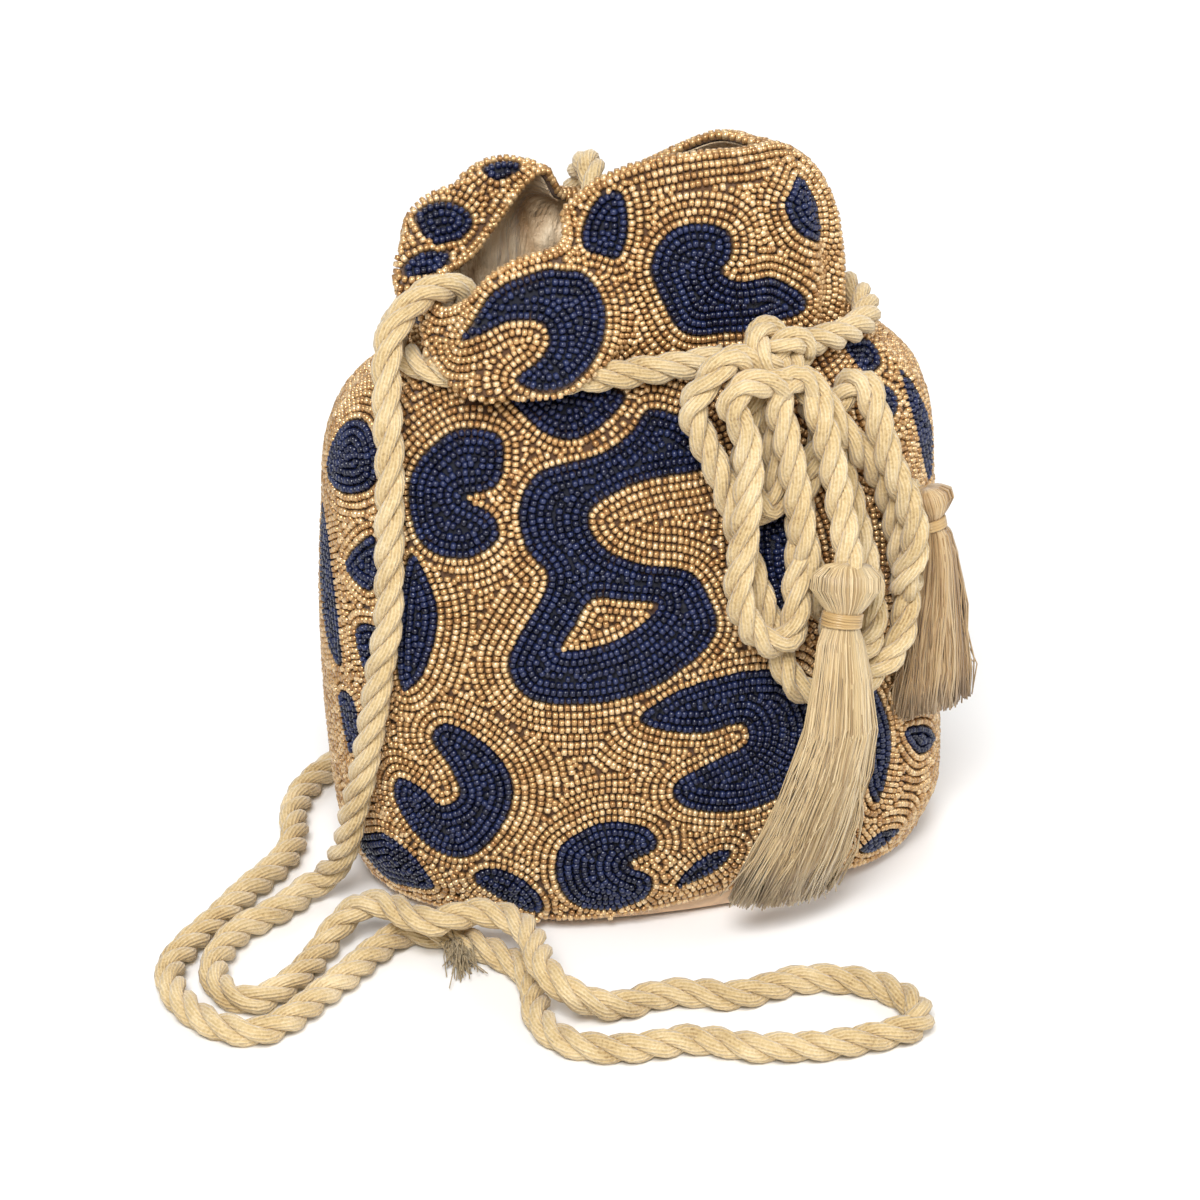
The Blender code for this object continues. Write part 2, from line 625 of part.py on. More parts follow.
def neck_cord_point(angle):
    """Centre line of the drawstring in the groove under the frill; it climbs to the knot."""
    toward = math.cos((angle - math.radians(KNOT_ANGLE)) / 2.0) ** CORD_LIFT_SHARPNESS
    out = CORD_RADIUS + CLEARANCE + CORD_SEAT
    x, y = oval(NECK_WIDTH / 2 + out, NECK_DEPTH / 2 + out, angle)
    return Vector((x, y, NECK_HEIGHT + CORD_LIFT * toward))


def knot_centre():
    """Middle of the knot, standing off the neck outside the drawstring."""
    angle = math.radians(KNOT_ANGLE)
    outward = Vector((math.cos(angle) / NECK_WIDTH, math.sin(angle) / NECK_DEPTH, 0.0)).normalized()
    return neck_cord_point(angle) + outward * (KNOT_STANDOFF - CORD_RADIUS)


def make_drawstring(rope):
    """Drawstring round the neck; both ends run into the knot."""
    centre = knot_centre()
    start = math.radians(KNOT_ANGLE)
    step = math.radians(0.5)
    ends = []
    for way in (1, -1):
        angle = start
        while (neck_cord_point(angle) - centre).length < KNOT_ENTRY:
            angle += way * step
        ends.append(angle)
    first, last = ends[0], ends[1] + FULL_TURN
    fine = [neck_cord_point(first + (last - first) * index / NECK_CORD_SPANS)
            for index in range(NECK_CORD_SPANS + 1)]
    return make_cord("drawstring", rounded(fine[::NECK_CORD_SHARE], CORD_STEP / 2), rope)


def make_knot(rope):
    """Knot where the drawstring is tied."""
    rings = []
    for band in range(1, KNOT_BANDS):
        slope = math.pi * band / KNOT_BANDS
        ring = []
        for side in range(KNOT_SIDES):
            angle = FULL_TURN * side / KNOT_SIDES
            outward = Vector((math.cos(angle) * math.sin(slope), math.sin(angle) * math.sin(slope),
                              -math.cos(slope)))
            ring.append(outward * KNOT_RADIUS + knot_centre())
        rings.append(ring)
    points, faces = loft(rings)
    return finish("drawstring_knot", points, faces, rope)


def make_hank(rope):
    """Outer shape of the wound drawstring ends that hang from the knot: a slab with rounded corners."""
    facing = Vector(HANK_FACING).normalized()
    sideways = Vector((-facing.y, facing.x, 0.0)).normalized()
    upward = facing.cross(sideways)
    rings = []
    edge = HANK_THICKNESS / 4
    for depth, shrink in ((0.0, edge), (edge, 0.0), (HANK_THICKNESS - edge, 0.0), (HANK_THICKNESS, edge)):
        ring = []
        for quarter, (right, up) in enumerate(((1, 1), (-1, 1), (-1, -1), (1, -1))):
            for step in range(HANK_CORNER_STEPS):
                angle = math.pi / 2 * (quarter + step / (HANK_CORNER_STEPS - 1))
                across = right * (HANK_WIDTH / 2 - HANK_ROUNDING) + math.cos(angle) * (HANK_ROUNDING - shrink)
                along = up * (HANK_LENGTH / 2 - HANK_ROUNDING) + math.sin(angle) * (HANK_ROUNDING - shrink)
                ring.append(Vector(HANK_PLACE) + sideways * across + upward * along + facing * depth)
        rings.append(ring)
    points, faces = loft(rings)
    return finish("drawstring_hank", points, faces, rope)


def tassel_frames(route):
    """Frames along a tassel at its sections: point, sideways and outward directions."""
    line = rounded([Vector(p) * MM for p in route], TASSEL_STEP)
    outward = Vector((HANK_FACING[0], HANK_FACING[1], 0.0)).normalized()
    last = len(line) - 1
    frames = []
    for share, width, depth in TASSEL_SECTIONS:
        index = round(share * last)
        ahead = (line[min(index + 1, last)] - line[max(index - 1, 0)]).normalized()
        sideways = outward.cross(ahead).normalized()
        frames.append((line[index], sideways, ahead.cross(sideways), width * MM, depth * MM))
    return frames


def oval_ring(frame, scale, grow):
    """Oval ring square to a tassel, grown by a margin."""
    point, sideways, outward, width, depth = frame
    ring = []
    for side in range(TASSEL_SIDES):
        angle = FULL_TURN * side / TASSEL_SIDES
        ring.append(point + sideways * math.cos(angle) * (width * scale / 2 + grow)
                    + outward * math.sin(angle) * (depth * scale / 2 + grow))
    return ring


def make_tassel(name, route, scale, thread, binding_thread):
    """Tassel of loose threads and the binding that ties its waist."""
    frames = tassel_frames(route)
    points, faces = loft([oval_ring(frame, scale, 0.0) for frame in frames])
    finish(name, points, faces, thread)
    low, high = frames[WAIST_SECTIONS[0]], frames[WAIST_SECTIONS[1]]
    margin = (high[0] - low[0]) * BINDING_INSET
    low = (low[0] + margin, *low[1:])
    high = (high[0] - margin, *high[1:])
    grows = (CLEARANCE, CLEARANCE + BINDING_THICKNESS)
    rings = [oval_ring(low, scale, grows[1]), oval_ring(high, scale, grows[1]),
             oval_ring(high, scale, grows[0]), oval_ring(low, scale, grows[0])]
    points, faces = loft(rings, closed_ends=False)
    last = 3 * TASSEL_SIDES
    for side in range(TASSEL_SIDES):
        after = (side + 1) % TASSEL_SIDES
        faces.append((last + side, last + after, after, side))
    finish(name + "_binding", points, faces, binding_thread)


def main():
    """Build the whole bag."""
    for thing in list(bpy.data.objects):
        bpy.data.objects.remove(thing, do_unlink=True)
    gold = material("gold seed beads", (0.56, 0.34, 0.13), 0.35, 0.6)
    navy = material("navy seed beads", (0.012, 0.02, 0.08), 0.45)
    satin = material("cream satin", (0.74, 0.56, 0.36), 0.4)
    tan = material("tan cloth", (0.72, 0.47, 0.27), 0.7)
    rope = material("cream cotton rope", (0.60, 0.46, 0.24), 0.9)
    thread = material("pale gold thread", (0.62, 0.47, 0.24), 0.35)
    gold_thread = material("gold thread", (0.60, 0.36, 0.11), 0.35)
    make_shell(gold)
    make_lining(satin)
    make_base_panel(tan)
    make_spots(navy)
    make_drawstring(rope)
    make_knot(rope)
    make_hank(rope)
    make_cord("shoulder_strap", rounded([Vector(p) * MM for p in STRAP_ROUTE], CORD_STEP), rope)
    make_tassel("front_tassel", FRONT_TASSEL_ROUTE, 1.0, thread, gold_thread)
    make_tassel("side_tassel", SIDE_TASSEL_ROUTE, SIDE_TASSEL_SCALE, thread, gold_thread)


main()
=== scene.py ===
"""Potli bag: beads, cloth, ropes and tassels made round the frame of the CAD model."""

import math

import bpy
import numpy as np
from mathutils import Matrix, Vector
from mathutils.kdtree import KDTree


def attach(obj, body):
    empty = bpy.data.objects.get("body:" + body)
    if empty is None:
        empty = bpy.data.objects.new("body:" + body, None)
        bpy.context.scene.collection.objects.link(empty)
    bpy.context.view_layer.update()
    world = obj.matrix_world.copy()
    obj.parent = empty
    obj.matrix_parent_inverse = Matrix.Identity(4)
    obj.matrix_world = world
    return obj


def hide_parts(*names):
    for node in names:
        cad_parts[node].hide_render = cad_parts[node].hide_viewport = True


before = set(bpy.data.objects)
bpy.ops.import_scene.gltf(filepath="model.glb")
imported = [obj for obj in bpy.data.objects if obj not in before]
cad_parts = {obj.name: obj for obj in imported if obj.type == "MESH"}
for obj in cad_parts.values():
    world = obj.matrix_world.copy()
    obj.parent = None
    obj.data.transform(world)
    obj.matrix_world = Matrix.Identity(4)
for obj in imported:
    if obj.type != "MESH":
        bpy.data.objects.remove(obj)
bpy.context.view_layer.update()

MM = 0.001
FULL_TURN = 2.0 * math.pi
# Parts of a smooth curve between two given points, in routes and in outlines
ROUTE_PARTS, OUTLINE_PARTS = 12, 8
rng = np.random.default_rng(11)

# Pouch in metres, with the sizes of the solids
HEM_HEIGHT, BELLY_HEIGHT, NECK_HEIGHT = 0.004, 0.062, 0.149
BASE_WIDTH, BASE_DEPTH, BASE_SHIFT = 0.150, 0.098, 0.003
NECK_WIDTH, NECK_DEPTH = 0.108, 0.058
COLLAR_HEIGHT = 0.008
# Height, half width, half depth and sideways shift, from the hem to the neck
STOPS = np.array((
    (HEM_HEIGHT, BASE_WIDTH / 2, BASE_DEPTH / 2, BASE_SHIFT),
    (0.018, 0.0800, 0.0535, BASE_SHIFT),
    (BELLY_HEIGHT, 0.0800, 0.0540, 0.0),
    (0.102, 0.0790, 0.0505, 0.0),
    (0.131, 0.0745, 0.0410, 0.0),
    (NECK_HEIGHT, NECK_WIDTH / 2, NECK_DEPTH / 2, 0.0),
))
OVAL_POWER = 2.0 / 2.25
LIFT_ANGLE, LIFT_SPREAD, LIFT_REACH, LIFT_HEIGHT = 284.0, 17.0, 0.034, 0.0055
GATHER_COUNT, GATHER_DEPTH, GATHER_FADE = 16, 0.0012, 0.034
# Angle round the neck in degrees, push and lift of the belly in mm, rim place as shares, rim height in mm
FOLDS = np.array((
    (8, 1, 32, 0.74, 0.04, 42), (28, 3, 38, 0.63, 0.28, 42), (50, 8, 38, 0.47, 0.50, 42),
    (75, 11, 30, 0.20, 0.71, 34), (98, 11, 25, -0.03, 0.80, 27), (115, 8, 36, -0.22, 0.75, 27),
    (131, 8, 48, -0.33, 0.59, 36), (147, 10, 44, -0.46, 0.52, 33), (163, 17, 44, -0.60, 0.36, 26),
    (177, 17, 30, -0.76, 0.16, 20), (187, 11, 14, -0.91, -0.04, 18), (196, 9, 8, -0.99, -0.27, 15),
    (205, 11, 0, -0.96, -0.50, 14), (217, 21, -8, -0.88, -0.69, 18), (231, 24, -12, -0.78, -0.79, 25),
    (245, 24, -10, -0.64, -0.81, 29), (256, 17, 0, -0.48, -0.76, 30), (263, 6, 16, -0.40, -0.58, 31),
    (268, -1, 26, -0.37, -0.38, 36), (273, 0, 32, -0.27, -0.45, 42), (279, 1, 36, -0.17, -0.55, 46),
    (287, 3, 40, 0.00, -0.61, 49), (299, 4, 40, 0.23, -0.63, 50), (314, 5, 40, 0.44, -0.55, 49),
    (330, 3, 40, 0.63, -0.40, 48), (348, 1, 35, 0.77, -0.19, 42),
), dtype=float)

# Outlines of the navy fields: degrees round the pouch and height in mm
BODY_SPOTS = {
    "front_kidney": ((228, 147), (233, 143), (239, 140), (250, 135), (257, 137), (262, 143), (256, 145),
        (249, 147), (238, 148)),
    "front_ring": ((267, 140), (273, 136), (275, 131), (274, 126), (267, 125), (261, 123), (255, 118),
        (257, 110), (263, 105), (270, 102), (273, 94), (274, 85), (269, 76), (263, 71), (253, 69),
        (243, 71), (239, 79), (241, 87), (247, 102), (243, 110), (242, 120), (246, 128), (257, 131),
        (263, 135)),
    "left_mitten": ((222, 135), (228, 137), (236, 135), (238, 129), (236, 124), (229, 122), (236, 118),
        (237, 112), (230, 107), (221, 108), (217, 114), (216, 126)),
    "left_half_moon": ((216, 106), (222, 97), (223, 88), (219, 74), (213, 70), (213, 88)),
    "left_disc": ((182, 128), (189, 133), (201, 131), (205, 122), (194, 116), (180, 116)),
    "left_bean": ((193, 97), (204, 108), (206, 100), (203, 93)),
    "left_wedge": ((198, 81), (207, 84), (206, 75), (202, 69)),
    "left_strip": ((172, 103), (179, 103), (187, 88), (191, 69), (184, 68), (176, 80)),
    "left_low_strip": ((188, 58), (196, 60), (197, 50), (192, 44)),
    "low_bean": ((221, 57), (225, 62), (233, 58), (238, 50), (238, 40), (232, 28), (225, 23), (216, 26),
        (209, 36), (211, 43), (217, 42), (222, 38), (227, 42), (225, 50)),
    "low_corner": ((188, 15), (197, 21), (205, 24), (213, 20), (217, 12), (209, 9), (198, 8)),
    "low_slipper": ((228, 17), (232, 21), (238, 19), (242, 13), (242, 7), (238, 8), (233, 12)),
    "low_c": ((253, 34), (258, 35), (263, 32), (264, 26), (259, 22), (263, 17), (262, 10), (256, 7),
        (249, 10), (246, 18), (247, 28)),
    "right_c": ((263, 63), (266, 68), (272, 72), (281, 73), (289, 69), (293, 58), (292, 47), (287, 38),
        (279, 34), (272, 35), (268, 39), (268, 45), (274, 50), (279, 53), (278, 59), (271, 58)),
    "low_leaf": ((267, 12), (269, 18), (272, 22), (275, 21), (272, 15)),
    "right_leaf": ((307, 59), (312, 49), (312, 37), (307, 25), (304, 39)),
    "right_dash": ((318, 42), (329, 38), (335, 31), (324, 32)),
    "right_low": ((304, 11), (309, 15), (317, 12), (311, 8)),
    "right_shoulder": ((325, 144), (337, 143), (331, 138), (321, 138)),
    "right_disc": ((320, 136), (326, 132), (323, 128), (316, 127), (313, 131)),
    "right_strip": ((335, 135), (338, 126), (343, 114), (337, 105), (331, 115), (330, 127)),
}
# Gold island inside the ring, and the navy field seen through the gap of the hank
GOLD_ISLAND = ((249.5, 84), (252, 91), (255, 97), (261, 96), (266, 94), (262, 88), (256, 84.5))
HANK_SPOT = ((280, 108), (282, 116), (286, 117), (290, 110), (292, 98), (290, 86), (284, 84), (281, 94))
BACK_SPOTS = ("front_ring", "left_mitten", "right_c", "low_c", "low_bean")
# Outlines of the navy fields on the frill: place in folds and rise from the neck in percent
FRILL_SPOTS = {
    "flap_comma": ((13.0, 88), (13.7, 95), (14.2, 97), (15.0, 97), (15.8, 96), (16.6, 89), (16.7, 75),
        (16.4, 66), (15.8, 61), (15.0, 59), (14.3, 68), (14.9, 75), (15.2, 80), (15.1, 86), (14.4, 89),
        (13.6, 88)),
    "lobe_wedge": ((18.9, 95), (19.6, 94), (19.3, 87), (18.1, 73), (17.5, 84), (17.3, 91), (18.1, 92)),
    "lobe_comma": ((18.6, 56), (19.1, 66), (20.0, 70), (20.8, 69), (21.3, 64), (21.2, 54), (20.9, 48),
        (21.2, 43), (21.9, 42), (22.5, 37), (22.9, 27), (22.6, 19), (21.0, 18), (19.8, 19), (18.9, 30)),
    "right_fan": ((23.6, 80), (23.8, 71), (23.8, 60), (23.6, 50), (23.0, 56), (22.8, 64), (22.9, 73)),
    "left_disc_upper": ((8.2, 70), (8.0, 76), (7.9, 85), (8.0, 92), (8.2, 95), (8.5, 95), (8.7, 93),
        (8.8, 85)),
    "left_fan": ((9.3, 67), (9.1, 76), (9.0, 86), (9.0, 93), (9.2, 95), (9.6, 94), (9.6, 85)),
    "left_crest": ((6.6, 82), (6.3, 88), (6.3, 94), (6.6, 95), (7.0, 92)),
    "left_foot": ((10.0, 36), (9.9, 56), (10.4, 78), (10.8, 60), (10.6, 40)),
}

# Lip of the flap over the drawstring: its fold and rise, its reach in folds and rise, out and down in mm
FLAP_FOLD, FLAP_RISE = 14.0, 0.56
FLAP_FOLD_REACH, FLAP_RISE_REACH = 2.4, 0.17
FLAP_OUT, FLAP_DROP = 5.0, 2.8

# Cords and tassels: routes in mm, other sizes in metres
CORD_RADIUS = 0.0038
CORD_LIFT, CORD_LIFT_SHARPNESS, CORD_SEAT, CLEARANCE = 0.003, 24, 0.0032, 0.0003
KNOT_ANGLE, KNOT_STANDOFF, KNOT_ENTRY = math.radians(288.0), 0.0125, 0.0112
HANK_PLACE = np.array((0.0302, -0.0483, 0.1029))
HANK_FACING = np.array((0.235, -0.95, 0.19))
# Height of a cord's middle on the floor
CORD_FLOOR = 3.9
STRAP_ON_FLOOR = (
    (-27, -91.5), (-18, -89), (-9, -90), (0, -94), (9, -93), (17, -91), (25, -92), (32, -95), (38, -100),
    (42, -107), (43, -114), (40, -120), (32, -122), (22, -123), (15, -123), (6, -121), (-2, -119),
    (-8, -115), (-16, -111), (-22, -111), (-31, -111), (-38, -109), (-44, -105), (-48, -98), (-49, -89),
    (-47, -79), (-47, -68), (-52, -58), (-58, -50), (-64, -45), (-71, -42), (-80, -48), (-90, -58),
    (-99, -66), (-109, -75), (-118, -79), (-126, -74), (-131, -66), (-134, -55), (-133, -43), (-126, -32),
    (-116, -21), (-107, -10), (-99, -2), (-92, 7), (-88, 17), (-86, 28), (-80, 41), (-69, 53), (-54, 61),
    (-36, 65),
)
# Strap from its upper end down the front, over the floor and up behind the bag to the rim
STRAP_ROUTE = (
    (-43, -6, 158), (-45.5, -8, 165), (-51, -11, 168), (-59, -14.5, 167), (-67, -19, 159), (-69, -24, 146),
    (-70, -30, 132), (-71, -33, 120), (-72, -35, 106), (-73, -36, 90), (-75, -35, 78), (-77, -33, 62),
    (-79, -30, 46), (-81, -26, 32), (-82, -22, 21), (-84, -17, 12), (-87, -13, 6), (-92, -14, 3.9),
    (-97, -19, 3.9), (-104, -24, 3.9), (-112, -29, 3.9), (-119, -38, 3.9), (-123, -48, 3.9),
    (-122, -58, 3.9), (-117, -64, 3.9), (-110, -62, 3.9), (-102, -55, 3.9), (-94, -44, 3.9), (-88, -38, 7),
    (-82, -38, 11.5), (-76, -42, 13), (-72, -49, 13), (-66, -54, 13), (-58, -52, 13), (-51, -54, 13),
    (-46, -61, 13), (-45, -72, 13), (-46, -83, 13), (-42, -90, 10), (-35, -92, 6),
    *((x, y, CORD_FLOOR) for x, y in STRAP_ON_FLOOR),
    (-20, 66.5, 5), (-9, 66, 12), (-4, 64, 26), (-3, 61.5, 45), (-3, 61, 62), (-3, 59.5, 85), (-3, 57, 105),
    (-3, 52, 122), (-3, 48, 137), (-3, 46, 150), (-3, 44, 161), (-3, 40, 171), (-3, 32, 180),
    (-4, 23, 182.5), (-5, 15, 179), (-6, 11, 171), (-6, 11, 164),
)
# Drawstring ends in the hank: sideways, up and outward from the hank's inner face, in mm
FRONT_END_ROUTE = (
    (-4, 50, 7), (-9, 46, 5), (-13.5, 38, 4.2), (-15, 30, 4.2), (-15.2, 23, 4.2), (-14, 16.5, 4.3),
    (-11.2, 13, 4.4), (-8.2, 14.5, 4.4), (-6.8, 20, 4.2), (-6.8, 27, 4.2), (-7.2, 34, 4.2), (-8.5, 42, 5),
    (-12, 49, 7.5), (-17, 54, 9.5), (-22, 54.5, 10.5), (-25.5, 51.5, 9.5), (-29.6, 43.9, 5.5),
    (-26.8, 34.5, 4.4), (-22.3, 23.1, 4.2), (-19.0, 10.0, 4.2), (-16.2, -2.3, 4.2), (-12.7, -14.8, 4.2),
    (-10.6, -24.3, 5.0), (-7.9, -32.3, 6.5), (-1.2, -36.9, 7.0), (7.1, -37.3, 7.0), (15.5, -33.9, 7.0),
    (21.3, -30.2, 7.0), (25.4, -24.5, 6.0), (27.5, -16.9, 4.8), (27.4, -5.3, 4.2), (26.0, 5.6, 4.6),
    (22.1, 15.9, 6.0), (15.7, 24.1, 8.0), (8.2, 33.4, 10.0), (2.2, 42.5, 12.0), (-2.6, 47.4, 12.8),
    (-7.4, 46.5, 12.6), (-9.0, 41.5, 12.0), (-7.4, 32.5, 11.8), (-5.6, 18.9, 11.8), (-4.7, 7.6, 11.4),
    (-1.5, -4.6, 9.0), (2.9, -15.8, 6.5), (6.6, -24.1, 6.0), (10.8, -27.6, 6.4), (15.0, -25.4, 6.6),
    (17.2, -19.3, 5.4), (17.4, -9.7, 4.2), (15.5, 2.5, 4.2), (12.9, 16.2, 4.2), (8.8, 28.0, 4.6),
    (5.2, 36.0, 5.0), (2.6, 41.5, 7.6), (1.4, 41.8, 11.4), (1.6, 36.5, 14.0), (3.0, 27.9, 14.0),
    (4.5, 18.7, 13.8), (4.6, 11.5, 14.8), (4.2, 5.0, 16.6), (3.8, 0.5, 17.6), (3.7, -3.5, 18.0),
)
SIDE_END_ROUTE = (
    (-7, 46, 12.5), (-14, 48.5, 14), (-20.5, 48, 13.6), (-22.8, 43.5, 12.6), (-19.7, 37.7, 11.9),
    (-18.5, 29.3, 11.8), (-19.8, 18.9, 11.8), (-21.9, 8.8, 11.8), (-24.1, -0.3, 11.6), (-23.9, -7.2, 11),
    (-21, -13.5, 10), (-16.5, -18.6, 9.4), (-11.3, -19.2, 9.4), (-8.1, -14.7, 9.6), (-6.6, -6, 9),
    (-4.6, 1.8, 8.5), (-0.6, 13.8, 4.6), (3.7, 22, 4.2), (8.6, 30, 4.2), (12.4, 37.0, 5.4),
    (14.6, 41.6, 8.0), (16.6, 41.2, 12.0), (17.6, 34.0, 13.4), (21, 20.5, 13), (24.7, 11.3, 12.6),
    (27.2, 1.5, 12), (26.9, -6, 11), (25, -11, 9), (27.5, -15.5, 5.5), (32, -12, 1.5), (35, -4, -1.5),
    (36.5, 4, -1.5), (36.8, 8, 0.8),
)
# Centre lines of the tassels, from the head down, in mm
FRONT_TASSEL_ROUTE = (
    (38, -64.8, 106), (36, -67.7, 94), (35, -69.2, 88), (33.5, -75.4, 66), (29.5, -71.5, 42), (23, -61.5, 11),
)
SIDE_TASSEL_ROUTE = ((66, -40.5, 112), (68, -42.3, 101), (69, -42.8, 95), (70, -41.2, 74), (71, -38.2, 47))
# Share of the tassel's length, then its width and depth there in mm
TASSEL_SECTIONS = np.array((
    (0.0, 4, 3), (0.012, 15, 8), (0.035, 21, 12), (0.07, 21, 13), (0.105, 14, 11), (0.13, 9, 8),
    (0.16, 9, 8), (0.22, 15, 10), (0.5, 24, 11), (0.8, 31, 11), (1.0, 34, 9),
))
SIDE_TASSEL_SCALE = 0.78

# Beads: distances between rows and between beads, radius, half length, and place off the cloth
ROW_PITCH = 2.05 * MM
BEAD_PITCH = 1.58 * MM
BEAD_RADIUS = 1.08 * MM
BEAD_HALF = 0.79 * MM
BEAD_STANDOFF = 0.75 * MM
# Least distances between the middles of beads, and the row along the rim
BEAD_GAP, LOOSE_BEAD_GAP = 1.26 * MM, 1.34 * MM
RIM_BEAD_PITCH, RIM_BEAD_SIZE, RIM_BEAD_DROP = 0.0018, 1.15, 0.0005


# Surfaces of the bag

def unit(vectors):
    """Rows of vectors brought to length 1."""
    return vectors / np.linalg.norm(vectors, axis=1)[:, None]


def hermite(before, start, end, after, share):
    """Catmull-Rom value between start and end."""
    return start + 0.5 * share * (
        end - before + share * (2.0 * before - 5.0 * start + 4.0 * end - after
                                + share * (3.0 * (start - end) + after - before)))


def profile(height):
    """Half width, half depth and shift at heights."""
    index = np.clip(np.searchsorted(STOPS[1:-1, 0], height, side="left"), 0, len(STOPS) - 2)
    low, high = STOPS[index], STOPS[index + 1]
    span = high[:, 0] - low[:, 0]
    share = (height - low[:, 0]) / span
    slopes = []
    for near in (index, index + 1):
        a, b = STOPS[np.maximum(near - 1, 0)], STOPS[np.minimum(near + 1, len(STOPS) - 1)]
        slopes.append((b[:, 1:] - a[:, 1:]) / (b[:, :1] - a[:, :1]) * span[:, None])
    t = share[:, None]
    return ((2 * t ** 3 - 3 * t * t + 1) * low[:, 1:] + (t ** 3 - 2 * t * t + t) * slopes[0]
            + (3 * t * t - 2 * t ** 3) * high[:, 1:] + (t ** 3 - t * t) * slopes[1])


def oval(half_width, half_depth, angle):
    """Points of a rounded oval."""
    c, s = np.cos(angle), np.sin(angle)
    return (half_width * np.sign(c) * np.abs(c) ** OVAL_POWER,
            half_depth * np.sign(s) * np.abs(s) ** OVAL_POWER)


def hem_lift(angle, height):
    """How far the wall is lifted off the base panel near one place of the hem."""
    away = (np.degrees(angle) % 360.0 - LIFT_ANGLE) / LIFT_SPREAD
    fade = np.clip(1.0 - (height - HEM_HEIGHT) / LIFT_REACH, 0.0, 1.0)
    return LIFT_HEIGHT * np.exp(-away * away) * fade * fade


def body_point(angle, height):
    """Outer surface of the pouch below the neck."""
    values = profile(height)
    fade = np.clip(1.0 - (NECK_HEIGHT - height) / GATHER_FADE, 0.0, None)
    swell = GATHER_DEPTH * np.cos(GATHER_COUNT * angle) * fade * fade
    x, y = oval(values[:, 0] + swell, values[:, 1] + swell, angle)
    return np.stack((x + values[:, 2], y, height + hem_lift(angle, height)), 1)


def fold_values(turn):
    """Smooth values of the folds at places counted in folds."""
    index = np.floor(turn).astype(int)
    share = (turn - index)[:, None]
    four = []
    for near in range(-1, 3):
        place = index + near
        rows = FOLDS[place % len(FOLDS)].copy()
        rows[:, 0] += 360.0 * (place // len(FOLDS))
        four.append(rows)
    return hermite(*four, share)


def frill_point(turn, rise):
    """Outer surface of the frill: rise is 0 at the neck and 1 at the rim."""
    values = fold_values(turn)
    angle = np.radians(values[:, 0])
    neck = body_point(angle, np.full(len(turn), NECK_HEIGHT))
    outward = np.stack((np.cos(angle) / NECK_WIDTH, np.sin(angle) / NECK_DEPTH, np.zeros(len(turn))), 1)
    outward = unit(outward)
    up = np.array((0.0, 0.0, 1.0))
    belly = neck + outward * values[:, 1:2] * MM + up * values[:, 2:3] * MM
    rim = np.stack((values[:, 3] * NECK_WIDTH / 2, values[:, 4] * NECK_DEPTH / 2,
                    NECK_HEIGHT + values[:, 5] * MM), 1)
    collar = neck + up * COLLAR_HEIGHT
    t = rise[:, None]
    stay = 1.0 - t
    lip = np.exp(-((turn - FLAP_FOLD) / FLAP_FOLD_REACH) ** 4 - ((rise - FLAP_RISE) / FLAP_RISE_REACH) ** 2)
    droop = (outward * FLAP_OUT - up * FLAP_DROP) * (lip * np.clip(8.0 * rise, 0.0, 1.0))[:, None] * MM
    return neck * stay ** 3 + collar * 3 * t * stay ** 2 + belly * 3 * t * t * stay + rim * t ** 3 + droop


def column_angle(turn, height):
    """Angle of a mesh column: it follows the folds at the neck and evens out down the pouch."""
    even = math.radians(FOLDS[0, 0]) + FULL_TURN * turn / len(FOLDS)
    gathered = np.radians(fold_values(turn)[:, 0])
    share = np.clip((height - BELLY_HEIGHT) / (NECK_HEIGHT - BELLY_HEIGHT), 0.0, 1.0)
    return even + (gathered - even) * share


def surface(turn, level):
    """Outer surface of the whole bag: level is 0 at the hem, 1 at the neck and 2 at the rim."""
    height = HEM_HEIGHT + (NECK_HEIGHT - HEM_HEIGHT) * np.minimum(level, 1.0)
    low = body_point(column_angle(turn, height), height)
    high = frill_point(turn, np.clip(level - 1.0, 0.0, 1.0))
    return np.where((level > 1.0)[:, None], high, low)


def grid_of(place, across, up):
    """Points and outward normals of a surface function on a grid that closes round the bag."""
    a, b = np.meshgrid(across, up)
    points = place(a.ravel(), b.ravel()).reshape(len(up), len(across), 3)
    sideways = np.roll(points, -1, 1) - np.roll(points, 1, 1)
    upward = np.gradient(points, axis=0)
    normals = np.cross(sideways, upward)
    normals /= np.maximum(np.linalg.norm(normals, axis=2), 1e-12)[:, :, None]
    return points, normals


# Meshes

def new_object(name, data):
    """Object of a mesh, lamp or camera, linked into the scene."""
    made = bpy.data.objects.new(name, data)
    bpy.context.scene.collection.objects.link(made)
    return made


def mesh_piece(name, points, triangles, material, uv=None, tint=None):
    """Smooth mesh object from arrays of points and triangles."""
    mesh = bpy.data.meshes.new(name)
    triangles = np.asarray(triangles, dtype=np.int32)
    mesh.vertices.add(len(points))
    mesh.vertices.foreach_set("co", np.asarray(points, dtype=np.float32).ravel())
    mesh.loops.add(triangles.size)
    mesh.loops.foreach_set("vertex_index", triangles.ravel())
    mesh.polygons.add(len(triangles))
    mesh.polygons.foreach_set("loop_start", np.arange(0, triangles.size, 3, dtype=np.int32))
    mesh.polygons.foreach_set("use_smooth", np.ones(len(triangles), dtype=bool))
    mesh.update(calc_edges=True)
    if uv is not None:
        layer = mesh.uv_layers.new(name="UVMap")
        corners = np.asarray(uv, dtype=np.float32)[triangles]
        across = corners[:, :, 0]
        across[(across < 0.5) & (np.ptp(across, axis=1) > 0.5)[:, None]] += 1.0
        layer.data.foreach_set("uv", corners.ravel())
    if tint is not None:
        values = mesh.attributes.new("tint", "FLOAT", "POINT")
        values.data.foreach_set("value", np.asarray(tint, dtype=np.float32))
    mesh.materials.append(material)
    thing = new_object(name, mesh)
    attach(thing, "root")
    return thing


